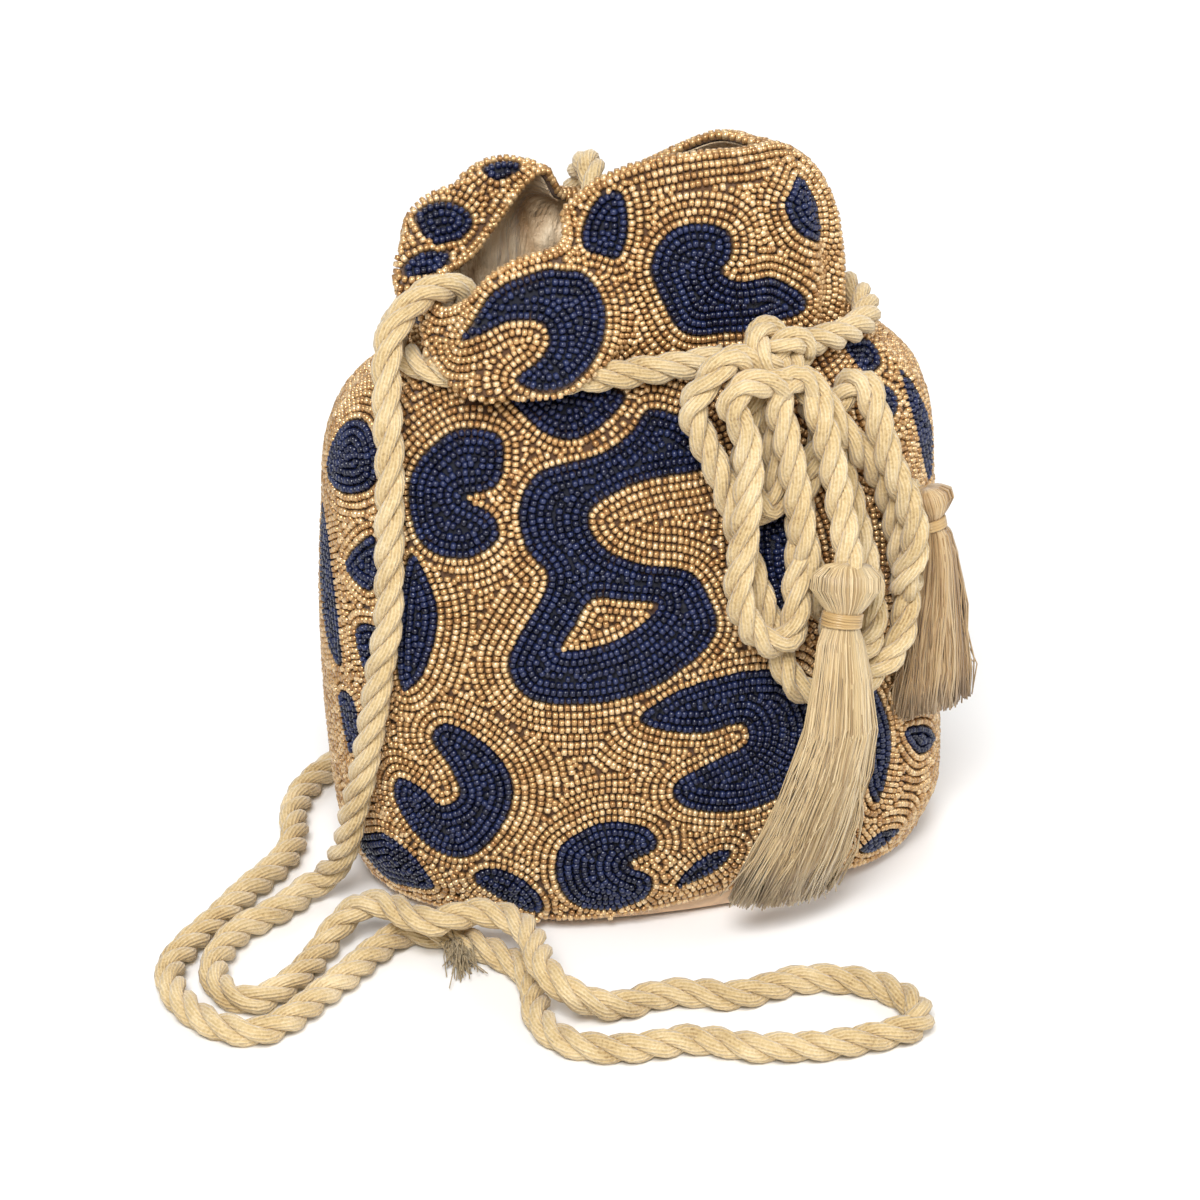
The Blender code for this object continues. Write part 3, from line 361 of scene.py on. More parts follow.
def ring_triangles(rings, sides, closed_ends=True, around=False):
    """Triangles of a tube of rings; around joins the last ring to the first."""
    triangles = []
    steps = rings if around else rings - 1
    side = np.arange(sides)
    after = (side + 1) % sides
    for ring in range(steps):
        low, high = ring * sides, ((ring + 1) % rings) * sides
        triangles.append(np.stack((low + side, low + after, high + after), 1))
        triangles.append(np.stack((low + side, high + after, high + side), 1))
    if closed_ends and not around:
        fan = np.arange(1, sides - 1)
        triangles.append(np.stack((np.zeros_like(fan), fan + 1, fan), 1))
        last = (rings - 1) * sides
        triangles.append(np.stack((np.full_like(fan, last), last + fan, last + fan + 1), 1))
    return np.concatenate(triangles)


def travel(points):
    """Distance along a polyline at each of its points."""
    return np.concatenate(((0.0,), np.cumsum(np.linalg.norm(np.diff(points, axis=0), axis=1))))


def read_at(marks, places, rows):
    """Rows of three values read at marks between their places."""
    return np.stack([np.interp(marks, places, rows[:, axis]) for axis in range(3)], 1)


def resampled(points, step):
    """Points along a polyline at an even step."""
    points = np.asarray(points, dtype=float)
    travelled = travel(points)
    count = max(2, round(travelled[-1] / step))
    return read_at(np.linspace(0.0, travelled[-1], count + 1), travelled, points)


def rounded(points, step):
    """Points along a smooth open curve through given points."""
    route = np.asarray(points, dtype=float)
    padded = np.concatenate((route[:1], route, route[-1:]))
    share = np.arange(ROUTE_PARTS)[:, None] / ROUTE_PARTS
    fine = [hermite(*padded[index:index + 4], share) for index in range(len(route) - 1)]
    return resampled(np.concatenate(fine + [route[-1:]]), step)


def carried_frames(points):
    """Tangents and two cross directions, carried along a path without spinning."""
    tangents = unit(np.gradient(points, axis=0))
    first = np.cross(tangents[0], (0.0, 0.0, 1.0))
    if np.linalg.norm(first) < 0.2:
        first = np.cross(tangents[0], (1.0, 0.0, 0.0))
    side = first / np.linalg.norm(first)
    sides = []
    for tangent in tangents:
        side = side - tangent * side.dot(tangent)
        side = side / np.linalg.norm(side)
        sides.append(side)
    sides = np.array(sides)
    return tangents, sides, np.cross(tangents, sides)


def tube(points, radius, sides):
    """Points, triangles and UV of a closed round tube along a path; radius may vary along it."""
    tangents, first, second = carried_frames(points)
    angle = np.arange(sides) * FULL_TURN / sides
    radius = np.broadcast_to(radius, len(points))[:, None, None]
    circle = first[:, None] * np.cos(angle)[None, :, None] + second[:, None] * np.sin(angle)[None, :, None]
    verts = points[:, None] + circle * radius
    uv = np.stack(np.broadcast_arrays(np.arange(sides)[None, :] / sides, travel(points)[:, None] * 100), 2)
    return verts.reshape(-1, 3), ring_triangles(len(points), sides), uv.reshape(-1, 2)


def joined(parts):
    """One set of points, triangles, UV and tints out of several."""
    points, triangles, uvs, tints = [], [], [], []
    base = 0
    for verts, faces, uv, tint in parts:
        points.append(verts)
        triangles.append(faces + base)
        uvs.append(uv)
        tints.append(np.full(len(verts), tint) if np.isscalar(tint) else tint)
        base += len(verts)
    return np.concatenate(points), np.concatenate(triangles), np.concatenate(uvs), np.concatenate(tints)


# Materials

def add_node(tree, kind, inputs=None, **settings):
    """Shader node with its inputs, which are values or sockets."""
    made = tree.nodes.new("ShaderNode" + kind)
    for key, value in settings.items():
        setattr(made, key, value)
    for key, value in (inputs or {}).items():
        if isinstance(value, bpy.types.NodeSocket):
            tree.links.new(value, made.inputs[key])
        else:
            made.inputs[key].default_value = value
    return made


class Shader:
    """Small helper for a procedural principled material."""

    def __init__(self, name, **values):
        self.material = bpy.data.materials.new(name)
        self.material.use_nodes = True
        self.tree = self.material.node_tree
        self.surface = self.tree.nodes["Principled BSDF"]
        for key, value in values.items():
            self.surface.inputs[key.replace("_", " ")].default_value = value

    def node(self, kind, inputs=None, **settings):
        return add_node(self.tree, kind, inputs, **settings)

    def math(self, operation, *values):
        return self.node("Math", dict(enumerate(values)), operation=operation).outputs[0]

    def tint(self):
        return self.node("Attribute", attribute_name="tint").outputs["Fac"]

    def stripes(self, vector, scale, direction, **inputs):
        inputs.update(Vector=vector, Scale=scale)
        return self.node("TexWave", inputs, bands_direction=direction).outputs["Fac"]

    def place(self, uv=False, scale=(1.0, 1.0, 1.0)):
        coordinates = self.node("TexCoord").outputs["UV" if uv else "Object"]
        return self.node("Mapping", {"Vector": coordinates, "Scale": scale}).outputs["Vector"]

    def ramp(self, factor, colours):
        made = self.node("ValToRGB", {"Fac": factor})
        stops = made.color_ramp.elements
        while len(stops) < len(colours):
            stops.new(0.5)
        for index, colour in enumerate(colours):
            stops[index].position = index / (len(colours) - 1)
            stops[index].color = (*colour, 1.0)
        return made.outputs["Color"]

    def colour(self, socket):
        self.tree.links.new(socket, self.surface.inputs["Base Color"])

    def bump(self, height, distance, strength=0.6):
        made = self.node("Bump", {"Height": height, "Distance": distance, "Strength": strength})
        self.tree.links.new(made.outputs["Normal"], self.surface.inputs["Normal"])

    def rough(self, factor, low, high):
        made = self.node("MapRange", {"Value": factor, "To Min": low, "To Max": high})
        self.tree.links.new(made.outputs["Result"], self.surface.inputs["Roughness"])


def noise(shader, vector, scale, detail=3.0):
    return shader.node("TexNoise", {"Vector": vector, "Scale": scale, "Detail": detail}).outputs["Fac"]


def bead_material(name, colours, metallic, roughness, coat):
    """Glass or metal-lined beads, each with its own tint."""
    shader = Shader(name, Metallic=metallic, Coat_Weight=coat, Coat_Roughness=0.15)
    shader.colour(shader.ramp(shader.tint(), colours))
    grain = noise(shader, shader.place(), 900.0, 2.0)
    shader.rough(grain, roughness - 0.08, roughness + 0.12)
    shader.bump(grain, 0.0001, 0.3)
    return shader.material


# Yarns seen round a strand, and how fast they turn along it
YARNS, YARN_TWIST = 11, 1.6


def rope_material(name, colours):
    """Twisted cotton: yarns that slant across each strand, fine fuzz and soft colour changes."""
    shader = Shader(name, Roughness=0.9, Sheen_Weight=0.35, Sheen_Roughness=0.5)
    along = shader.place(uv=True, scale=(YARNS * FULL_TURN / 10.0, YARN_TWIST, 1.0))
    yarn = shader.stripes(along, 1.0, "DIAGONAL", Distortion=0.6, Detail=1.0)
    fuzz = noise(shader, shader.place(), 1500.0, 4.0)
    patches = noise(shader, shader.place(), 90.0, 2.0)
    total = shader.math("ADD", shader.math("MULTIPLY_ADD", yarn, 0.22, fuzz), patches)
    spread = shader.node("MapRange", {"Value": total, "From Min": 0.65, "From Max": 1.45}).outputs["Result"]
    shader.colour(shader.ramp(spread, colours))
    shader.bump(shader.math("MULTIPLY_ADD", yarn, 0.7, fuzz), 0.0005, 0.7)
    return shader.material


def thread_material(name, colours, roughness):
    """Smooth shiny threads, each with its own tint."""
    shader = Shader(name, Roughness=roughness, Sheen_Weight=0.2, Specular_IOR_Level=0.6)
    shader.colour(shader.ramp(shader.tint(), colours))
    shader.bump(noise(shader, shader.place(), 2500.0, 2.0), 0.0001, 0.5)
    return shader.material


def satin_material():
    """Satin with fine creases that run up from the neck, with painted shade in their hollows and painted
    sheen on their ridges.
    """
    shader = Shader("cream satin", Roughness=0.38, Sheen_Weight=0.4, Sheen_Roughness=0.3)
    creases = noise(shader, shader.place(uv=True, scale=(95.0, 5.0, 1.0)), 1.0, 5.0)
    soft = noise(shader, shader.place(uv=True, scale=(14.0, 4.0, 1.0)), 1.0, 3.0)
    weave = noise(shader, shader.place(), 2600.0, 2.0)
    folds = shader.math("ADD", creases, soft)
    crease_shade_and_sheen = shader.node("MapRange", {"Value": folds, "From Min": 0.75, "From Max": 1.2}).outputs["Result"]
    # Colour follows the creases and broad folds: painted shade in the hollows, painted sheen on the ridges.
    shader.colour(shader.ramp(crease_shade_and_sheen, ((0.50, 0.32, 0.17), (0.74, 0.56, 0.36), (0.86, 0.71, 0.51))))
    shader.bump(shader.math("MULTIPLY_ADD", weave, 0.05, folds), 0.006, 1.0)
    shader.rough(creases, 0.30, 0.46)
    return shader.material


def cloth_material(name, colours, scale, under_fields=None):
    """Plain woven cloth, with another colour under the navy fields."""
    shader = Shader(name, Roughness=0.8, Sheen_Weight=0.3)
    warp, weft = (shader.stripes(shader.place(), scale, way, Distortion=0.4) for way in "XY")
    weave = shader.math("MULTIPLY", warp, weft)
    patches = noise(shader, shader.place(), 60.0, 3.0)
    colour = shader.ramp(shader.math("MULTIPLY_ADD", weave, 0.3, patches), colours)
    if under_fields:
        mix = {"Fac": shader.tint(), "Color1": colour, "Color2": (*under_fields, 1.0)}
        colour = shader.node("MixRGB", mix).outputs["Color"]
    shader.colour(colour)
    shader.bump(weave, 0.0003, 0.6)
    return shader.material


# Camera

CAMERA_AZIMUTH, CAMERA_ELEVATION, CAMERA_DISTANCE = math.radians(-15.5), math.radians(26.0), 1.15
CAMERA_TARGET = Vector((-0.008, 0.0, 0.071))
CAMERA_LENS, CAMERA_SENSOR = 131.7, 36.0


def make_camera():
    """Camera at the photograph's viewing angle."""
    back = Vector((math.sin(CAMERA_AZIMUTH) * math.cos(CAMERA_ELEVATION),
                   -math.cos(CAMERA_AZIMUTH) * math.cos(CAMERA_ELEVATION), math.sin(CAMERA_ELEVATION)))
    camera = new_object("camera", bpy.data.cameras.new("camera"))
    camera.data.lens = CAMERA_LENS
    camera.data.sensor_width = CAMERA_SENSOR
    camera.location = CAMERA_TARGET + back * CAMERA_DISTANCE
    camera.rotation_mode = "QUATERNION"
    camera.rotation_quaternion = (-back).to_track_quat("-Z", "Y")
    bpy.context.scene.camera = camera


# Cords

# Radius of a strand and its distance from the rope's middle as shares of the rope's radius
STRAND_SHARE, STRAND_OFFSET, STRAND_SIDES = 0.50, 0.545, 8
# Length of one full twist, and how the strands swell and thin along the rope
ROPE_LAY, ROPE_WANDER, WANDER_RATE = 0.0235, 0.05, 310.0
# Steps along the paths of the ropes
ROPE_STEP, HANK_STEP, KNOT_STEP = 0.0021, 0.0019, 0.0014
# Turns of the knot: reach and its sway in mm, and the rope's radius
KNOT_SIZE, KNOT_SWAY, KNOT_RADIUS = 5.4, 2.6, CORD_RADIUS * 0.92


def rope_parts(path, radius):
    """Three strands twisted round a path."""
    tangents, first, second = carried_frames(path)
    travelled = travel(path)
    parts = []
    for strand in range(3):
        angle = FULL_TURN * (strand / 3 + travelled / ROPE_LAY)
        wander = 1.0 + ROPE_WANDER * np.sin(travelled * WANDER_RATE + strand * 2.1)
        centre = path + (first * np.cos(angle)[:, None] + second * np.sin(angle)[:, None]) \
            * (STRAND_OFFSET * radius * wander)[:, None]
        parts.append((*tube(centre, radius * STRAND_SHARE * wander, STRAND_SIDES), 0.5))
    return parts


def hank_axes():
    """Directions sideways, up and outward from the hank's inner face."""
    facing = HANK_FACING / np.linalg.norm(HANK_FACING)
    sideways = np.array((-facing[1], facing[0], 0.0))
    sideways /= np.linalg.norm(sideways)
    return sideways, np.cross(facing, sideways), facing


def hank_point(place):
    """Point given in mm from the hank's inner face."""
    sideways, upward, facing = hank_axes()
    return HANK_PLACE + (sideways * place[0] + upward * place[1] + facing * place[2]) * MM


def neck_cord_point(angle):
    """Centre line of the drawstring under the frill."""
    toward = np.cos((angle - KNOT_ANGLE) / 2.0) ** CORD_LIFT_SHARPNESS
    out = CORD_RADIUS + CLEARANCE + CORD_SEAT
    x, y = oval(NECK_WIDTH / 2 + out, NECK_DEPTH / 2 + out, angle)
    return np.stack((x, y, NECK_HEIGHT + CORD_LIFT * toward), -1)


def knot_centre():
    """Middle of the drawstring's knot."""
    outward = np.array((math.cos(KNOT_ANGLE) / NECK_WIDTH, math.sin(KNOT_ANGLE) / NECK_DEPTH, 0.0))
    outward /= np.linalg.norm(outward)
    return neck_cord_point(np.array(KNOT_ANGLE)) + outward * (KNOT_STANDOFF - CORD_RADIUS)


def make_rope(name, path, radius, material):
    """Twisted rope along a path."""
    points, triangles, uv, _ = joined(rope_parts(path, radius))
    return mesh_piece(name, points, triangles, material, uv)


def make_knot(material):
    """Knot of two crossing turns of the drawstring."""
    centre = knot_centre()
    share = np.linspace(0.0, FULL_TURN, 120)
    around, through = 2 * share, 3 * share
    reach = KNOT_SIZE + KNOT_SWAY * np.cos(through)
    sideways, upward, facing = hank_axes()
    path = centre + (sideways * (reach * np.cos(around))[:, None]
                     + upward * (0.9 * reach * np.sin(around))[:, None] + upward * 2.5
                     + facing * (3.5 + 3.4 * np.sin(through))[:, None]) * MM
    return make_rope("knot_turns", resampled(path, KNOT_STEP), KNOT_RADIUS, material)


# Tassels

# Radius of a thread, and the step along a tassel's centre line
THREAD_RADIUS, TASSEL_STEP = 0.00024, 0.001
# Places along a thread as shares of the tassel's length
THREAD_PLACES = np.array((0.0, 0.012, 0.035, 0.07, 0.105, 0.13, 0.165, 0.21, 0.31, 0.44, 0.58, 0.72, 0.86,
                          1.0))
# Share of loose threads, how far tight and loose threads drift and bow, and the spread of their lengths
LOOSE_SHARE, TIGHT_DRIFT, LOOSE_DRIFT = 0.13, 0.25, 0.7
TIGHT_BOW, LOOSE_BOW, LENGTH_SPREAD = 0.05, 0.16, 0.04
FRONT_THREADS, SIDE_THREADS = 1300, 700
# Core inside the threads: rings, sides and share of the tassel's width
CORE_RINGS, CORE_SIDES, CORE_REACH = 26, 14, 0.62
# Wound binding: turns, first place and width as shares of the length, thread radius, sides of a turn
BINDING_TURNS, BINDING_START, BINDING_WIDTH, BINDING_RADIUS, BINDING_SIDES = 6, 0.130, 0.030, 0.00042, 24


def tassel_line(route):
    """Fine centre line of a tassel with its sideways and outward directions."""
    line = rounded(np.array(route) * MM, TASSEL_STEP)
    ahead = unit(np.gradient(line, axis=0))
    facing = np.array((HANK_FACING[0], HANK_FACING[1], 0.0))
    facing /= np.linalg.norm(facing)
    sideways = unit(np.cross(facing, ahead))
    return line, sideways, np.cross(ahead, sideways)


def tassel_places(line, sideways, outward, share, across, out, scale):
    """Points inside a tassel: share of its length and a place in its oval section, from -1 to 1."""
    index = np.clip(share, 0.0, 1.0) * (len(line) - 1)
    marks = np.arange(len(line))
    middle, side, front = (read_at(index, marks, rows) for rows in (line, sideways, outward))
    width, depth = (np.interp(share, TASSEL_SECTIONS[:, 0], TASSEL_SECTIONS[:, column]) * scale * MM / 2
                    for column in (1, 2))
    return middle + side * (across * width)[:, None] + front * (out * depth)[:, None]


def make_tassel(name, node, route, scale, strands, thread, binding_thread):
    """Skirt and head of fine threads, and the wound binding at the waist."""
    line, sideways, outward = tassel_line(route)
    parts = []
    for _ in range(strands):
        angle = rng.uniform(0.0, FULL_TURN)
        reach = math.sqrt(rng.uniform(0.35, 1.0)) * 0.94
        loose = rng.random() < LOOSE_SHARE
        drift = rng.normal(0.0, LOOSE_DRIFT if loose else TIGHT_DRIFT)
        bow = rng.normal(0.0, LOOSE_BOW if loose else TIGHT_BOW)
        length = 1.0 - abs(rng.normal(0.0, LENGTH_SPREAD))
        place = THREAD_PLACES * length
        turned = angle + drift * np.clip(place - 0.2, 0.0, 1.0)
        sway = bow * np.sin(place * 9.0 + angle)
        sway = sway * np.clip((place - 0.16) * 3.0, 0.0, 1.0)
        points = tassel_places(line, sideways, outward, place, reach * np.cos(turned) + sway,
                               reach * np.sin(turned), scale)
        thread_tube = tube(points, THREAD_RADIUS * (0.75 + 0.5 * rng.random()), 3)
        parts.append((*thread_tube, rng.random()))
    angle = np.arange(CORE_SIDES) * FULL_TURN / CORE_SIDES
    core = np.concatenate([tassel_places(line, sideways, outward, np.full(CORE_SIDES, place),
                                         CORE_REACH * np.cos(angle), CORE_REACH * np.sin(angle), scale)
                           for place in np.linspace(0.0, 0.97, CORE_RINGS)])
    # The core takes the dark end of the thread colours: painted shade inside the tassel.
    parts.append((core, ring_triangles(CORE_RINGS, CORE_SIDES), np.zeros((len(core), 2)), 0.1))
    points, triangles, uv, tint = joined(parts)
    skirt = mesh_piece(name + "_threads", points, triangles, thread, uv, tint)
    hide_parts(node)
    wraps = []
    angle = np.linspace(0.0, FULL_TURN, BINDING_SIDES + 1)[:-1]
    for turn in range(BINDING_TURNS):
        place = BINDING_START + BINDING_WIDTH * turn / (BINDING_TURNS - 1) + rng.normal(0.0, 0.0008)
        ring = tassel_places(line, sideways, outward, np.full(BINDING_SIDES, place), 1.10 * np.cos(angle),
                             1.16 * np.sin(angle), scale)
        closed = np.concatenate((ring, ring[:1]))
        wraps.append((*tube(closed, BINDING_RADIUS, 6), 0.3 + 0.4 * (turn % 2)))
    points, triangles, uv, tint = joined(wraps)
    binding = mesh_piece(name + "_wraps", points, triangles, binding_thread, uv, tint)
    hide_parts(node + "_binding")
    return skirt, binding


ROPE_COLOURS = ((0.29, 0.17, 0.066), (0.52, 0.37, 0.17), (0.635, 0.48, 0.255), (0.75, 0.60, 0.365))
THREAD_COLOURS = ((0.34, 0.22, 0.10), (0.56, 0.41, 0.21), (0.73, 0.58, 0.35))
# Darker copy of the pale gold thread colours for the side tassel: painted shade.
SHADED_THREAD_COLOURS = ((0.28, 0.16, 0.06), (0.48, 0.31, 0.14), (0.60, 0.44, 0.24))
BINDING_COLOURS = ((0.38, 0.23, 0.085), (0.54, 0.37, 0.16))


def make_cords():
    """Strap, drawstring, knot, hank and tassels; gives back the rope's material."""
    rope = rope_material("cotton rope", ROPE_COLOURS)
    thread = thread_material("pale gold threads", THREAD_COLOURS, 0.34)
    # The side tassel's threads are the pale gold threads made darker: painted shade.
    shaded_thread = thread_material("shaded pale gold threads", SHADED_THREAD_COLOURS, 0.36)
    gold_thread = thread_material("gold binding thread", BINDING_COLOURS, 0.3)
    strap_path = rounded(np.array(STRAP_ROUTE) * MM, ROPE_STEP)
    strap = make_rope("strap_rope", strap_path, CORD_RADIUS, rope)
    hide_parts("shoulder_strap")
    centre = knot_centre()
    angles = []
    for way in (1, -1):
        angle = KNOT_ANGLE
        while np.linalg.norm(neck_cord_point(np.array(angle)) - centre) < KNOT_ENTRY:
            angle += way * math.radians(0.5)
        angles.append(angle)
    ring_path = resampled(neck_cord_point(np.linspace(angles[0], angles[1] + FULL_TURN, 400)), ROPE_STEP)
    ring = make_rope("neck_rope", ring_path, CORD_RADIUS, rope)
    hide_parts("drawstring")
    knot = make_knot(rope)
    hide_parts("drawstring_knot")
    front = make_tassel("front", "front_tassel", FRONT_TASSEL_ROUTE, 1.0, FRONT_THREADS, thread, gold_thread)
    side = make_tassel("side", "side_tassel", SIDE_TASSEL_ROUTE, SIDE_TASSEL_SCALE, SIDE_THREADS,
                       shaded_thread, gold_thread)
    for name, route, ends, others in (("front_end_rope", FRONT_END_ROUTE, front, (knot,)),
                                      ("side_end_rope", SIDE_END_ROUTE, side, ())):
        path = rounded([hank_point(place) for place in route], HANK_STEP)
        end = make_rope(name, path, CORD_RADIUS, rope)
        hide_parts("drawstring_hank")
        list(ends) + list(others)
    return rope


# Frayed tuft: where it leaves the strap, its heading, its threads and their radius
FRAY_PLACE, FRAY_HEADING = np.array((-0.0598, -0.0495, 0.0042)), np.array((-0.10, -1.0, 0.05))
FRAY_THREADS, FRAY_RADIUS = 90, 0.00017


def make_fray(material):
    """Small frayed tuft that stands out of the strap on the floor."""
    share = np.linspace(0.0, 1.0, 6)[:, None]
    parts = []
    for _ in range(FRAY_THREADS):
        heading = FRAY_HEADING + rng.normal(0.0, 0.20, 3)
        curl = rng.normal(0.0, 0.0012, 3)
        points = FRAY_PLACE + rng.normal(0.0, 0.0008, 3) + heading * rng.uniform(0.006, 0.0115) * share
        points = points + curl * np.sin(share * 4.0)
        points[:, 2] = np.maximum(points[:, 2] - 0.003 * share[:, 0] ** 2, 0.0004)
        parts.append((*tube(points, FRAY_RADIUS, 3), 0.5))
    points, triangles, uv, _ = joined(parts)
    mesh_piece("strap_fray", points, triangles, material, uv)


# Cloth

# Mesh columns for each fold, and rows below and above the neck
COLUMNS_PER_FOLD, CLOTH_ROWS = 9, 40
# Depths of the cloth's and the lining's two faces under the surface of the bag
CLOTH_FACES, LINING_FACES = (0.0001, 0.0010), (0.0013, 0.0017)
# Lining: lowest level, drop of its rim, and its floor's height and shares of the pouch's width and depth
LINING_LEVEL, LINING_RIM_DROP, LINING_FLOOR, LINING_FLOOR_SHARES = 0.03, 0.6, 0.0018, (0.86, 0.80, 0.0)
# Base panel: its edge's inset and height, its sides, then steps inward and heights of its rings
BASE_INSET, BASE_EDGE, BASE_SIDES = 0.0015, 0.006, 96
BASE_RINGS = ((0.030, 0.0), (0.0070, 0.0), (0.0035, 0.0005), (0.0009, 0.0020), (0.0, 0.0060),
              (0.0013, 0.0060), (0.0024, 0.0025), (0.0050, 0.0018), (0.0075, 0.0014), (0.030, 0.0014))
BACKING_COLOURS = ((0.06, 0.024, 0.008), (0.11, 0.048, 0.017), (0.17, 0.08, 0.031))
UNDER_FIELDS = (0.004, 0.005, 0.017)
TAN_COLOURS = ((0.62, 0.38, 0.20), (0.74, 0.49, 0.29), (0.80, 0.57, 0.36))


def loft_sheet(name, walls, material, closed_floor, tint=None):
    """Closed thin sheet between two walls of rings, given from the hem up, joined at the rim."""
    outer, inner = walls
    sides = outer.shape[1]
    rings = np.concatenate((outer, inner[::-1]))
    points = rings.reshape(-1, 3)
    triangles = ring_triangles(len(rings), sides, closed_ends=False, around=not closed_floor)
    rows = np.concatenate((np.linspace(0, 1, len(outer)), np.linspace(1, 0, len(inner))))
    uv = np.stack(np.broadcast_arrays((np.arange(sides) / sides)[None, :], rows[:, None]), 2).reshape(-1, 2)
    if closed_floor:
        floor_points, extra = [], []
        base = len(points)
        for ring_index, flip in ((0, True), (len(rings) - 1, False)):
            floor_points.append(rings[ring_index].mean(0))
            hub = base + len(floor_points) - 1
            side = np.arange(sides)
            after = (side + 1) % sides
            low = ring_index * sides
            order = (hub, low + after, low + side) if flip else (hub, low + side, low + after)
            extra.append(np.stack([np.broadcast_to(item, sides) for item in order], 1))
        points = np.concatenate((points, floor_points))
        uv = np.concatenate((uv, np.full((2, 2), 0.5)))
        triangles = np.concatenate([triangles] + extra)
    return mesh_piece(name, points, triangles, material, uv, tint)


def wall_grid(columns, levels, inset):
    """Grid of the bag's surface, set in by a depth."""
    turns = np.arange(columns) * len(FOLDS) / columns
    points, normals = grid_of(surface, turns, levels)
    return points - normals * inset


def field_outlines():
    """Outlines of the navy fields and of the gold island, on the pouch and on the frill."""
    body = [np.array(spot, dtype=float) for spot in BODY_SPOTS.values()]
    body += [np.array(BODY_SPOTS[name], dtype=float) - (180.0, 0.0) for name in BACK_SPOTS]
    body += [np.array(spot, dtype=float) for spot in (GOLD_ISLAND, HANK_SPOT)]
    frill = [np.array(spot, dtype=float) * (1.0, 0.01) for spot in FRILL_SPOTS.values()]
    return [spot * (math.pi / 180, MM) for spot in body], frill


def navy_share(columns, levels):
    """1 where a point of the cloth lies under a navy field, else 0."""
    turn, level = np.meshgrid(np.arange(columns) * len(FOLDS) / columns, levels)
    turn, level = turn.ravel(), level.ravel()
    height = HEM_HEIGHT + (NECK_HEIGHT - HEM_HEIGHT) * np.minimum(level, 1.0)
    angle = column_angle(turn, height)
    body, frill = field_outlines()
    low, high = np.zeros(len(turn), dtype=bool), np.zeros(len(turn), dtype=bool)
    for outline in body:
        for shift in (-FULL_TURN, 0.0, FULL_TURN):
            low ^= inside(closed_outline(outline), angle + shift, height)
    for outline in frill:
        high ^= inside(closed_outline(outline), turn, level - 1.0)
    return np.where(level > 1.0, high, low).astype(float)


def make_cloth():
    """Backing cloth of the beads, satin lining and base panel."""
    levels = np.concatenate((np.linspace(0.0, 1.0, CLOTH_ROWS), np.linspace(1.0, 2.0, CLOTH_ROWS)[1:]))
    columns = len(FOLDS) * COLUMNS_PER_FOLD
    backing = cloth_material("brown backing cloth", BACKING_COLOURS, 1500.0, UNDER_FIELDS)
    under = navy_share(columns, levels)
    shell = loft_sheet("pouch_cloth", [wall_grid(columns, levels, depth) for depth in CLOTH_FACES],
                       backing, False, np.concatenate((under, np.zeros(len(under)))))
    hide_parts("outer_shell")
    walls = []
    middle = np.array((BASE_SHIFT, 0.0, 0.0))
    for depth in LINING_FACES:
        wall = wall_grid(columns, levels[levels > LINING_LEVEL], depth)
        wall[-1] = wall[-1] + (wall[-2] - wall[-1]) * LINING_RIM_DROP
        floor_ring = (wall[0] - middle) * np.array(LINING_FLOOR_SHARES) + middle
        floor_ring[:, 2] = LINING_FLOOR + (depth - LINING_FACES[0])
        walls.append(np.concatenate((floor_ring[None], wall)))
    lining = loft_sheet("satin_lining", walls, satin_material(), True)
    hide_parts("lining")
    tan = cloth_material("tan base cloth", TAN_COLOURS, 1200.0)
    angle = np.arange(BASE_SIDES) * FULL_TURN / BASE_SIDES
    rings = []
    for reach, height in BASE_RINGS:
        x, y = oval(BASE_WIDTH / 2 - BASE_INSET - reach, BASE_DEPTH / 2 - BASE_INSET - reach, angle)
        raised = hem_lift(angle, np.full(BASE_SIDES, HEM_HEIGHT)) * (1.0 if height == BASE_EDGE else 0.0)
        rings.append(np.stack((x + BASE_SHIFT, y, height + raised), 1))
    base = mesh_piece("base_cloth", np.concatenate(rings), ring_triangles(len(rings), BASE_SIDES), tan)
    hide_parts("base_panel")


# Beads

def closed_outline(points):
    """Smooth closed outline through chart points."""
    route = np.asarray(points, dtype=float)
    share = np.arange(OUTLINE_PARTS)[:, None] / OUTLINE_PARTS
    padded = np.concatenate((route[-1:], route, route[:2]))
    return np.concatenate([hermite(*padded[index:index + 4], share) for index in range(len(route))])


def inside(outline, across, up):
    """Which chart points lie inside a closed outline."""
    result = np.zeros(across.shape, dtype=bool)
    ends = np.roll(outline, -1, 0)
    for (x0, y0), (x1, y1) in zip(outline, ends):
        if y0 == y1:
            continue
        crosses = (up > min(y0, y1)) & (up <= max(y0, y1))
        result ^= crosses & (across < x0 + (up - y0) * (x1 - x0) / (y1 - y0))
    return result


def tree_of(points):
    """Search tree of points."""
    tree = KDTree(len(points))
    for index, point in enumerate(points):
        tree.insert(point, index)
    tree.balance()
    return tree


def field_distance(points, place, across, up, outlines, edges, period):
    """Signed distance of grid points from the navy outlines, negative inside, and from the edges."""
    samples = list(edges)
    within = np.zeros(points.shape[:2], dtype=bool)
    a, b = np.meshgrid(across, up)
    for outline in outlines:
        curve = closed_outline(outline)
        closed = np.concatenate((curve, curve[:1]))
        dense = np.concatenate([closed[i] + (closed[i + 1] - closed[i]) * np.arange(6)[:, None] / 6
                                for i in range(len(curve))])
        samples.append(place(dense[:, 0], dense[:, 1]))
        for shift in (-period, 0.0, period):
            within ^= inside(curve, a + shift, b)
    tree = tree_of(np.concatenate(samples))
    distance = np.array([tree.find(point)[2] for point in points.reshape(-1, 3)]).reshape(points.shape[:2])
    return np.where(within, -distance, distance)


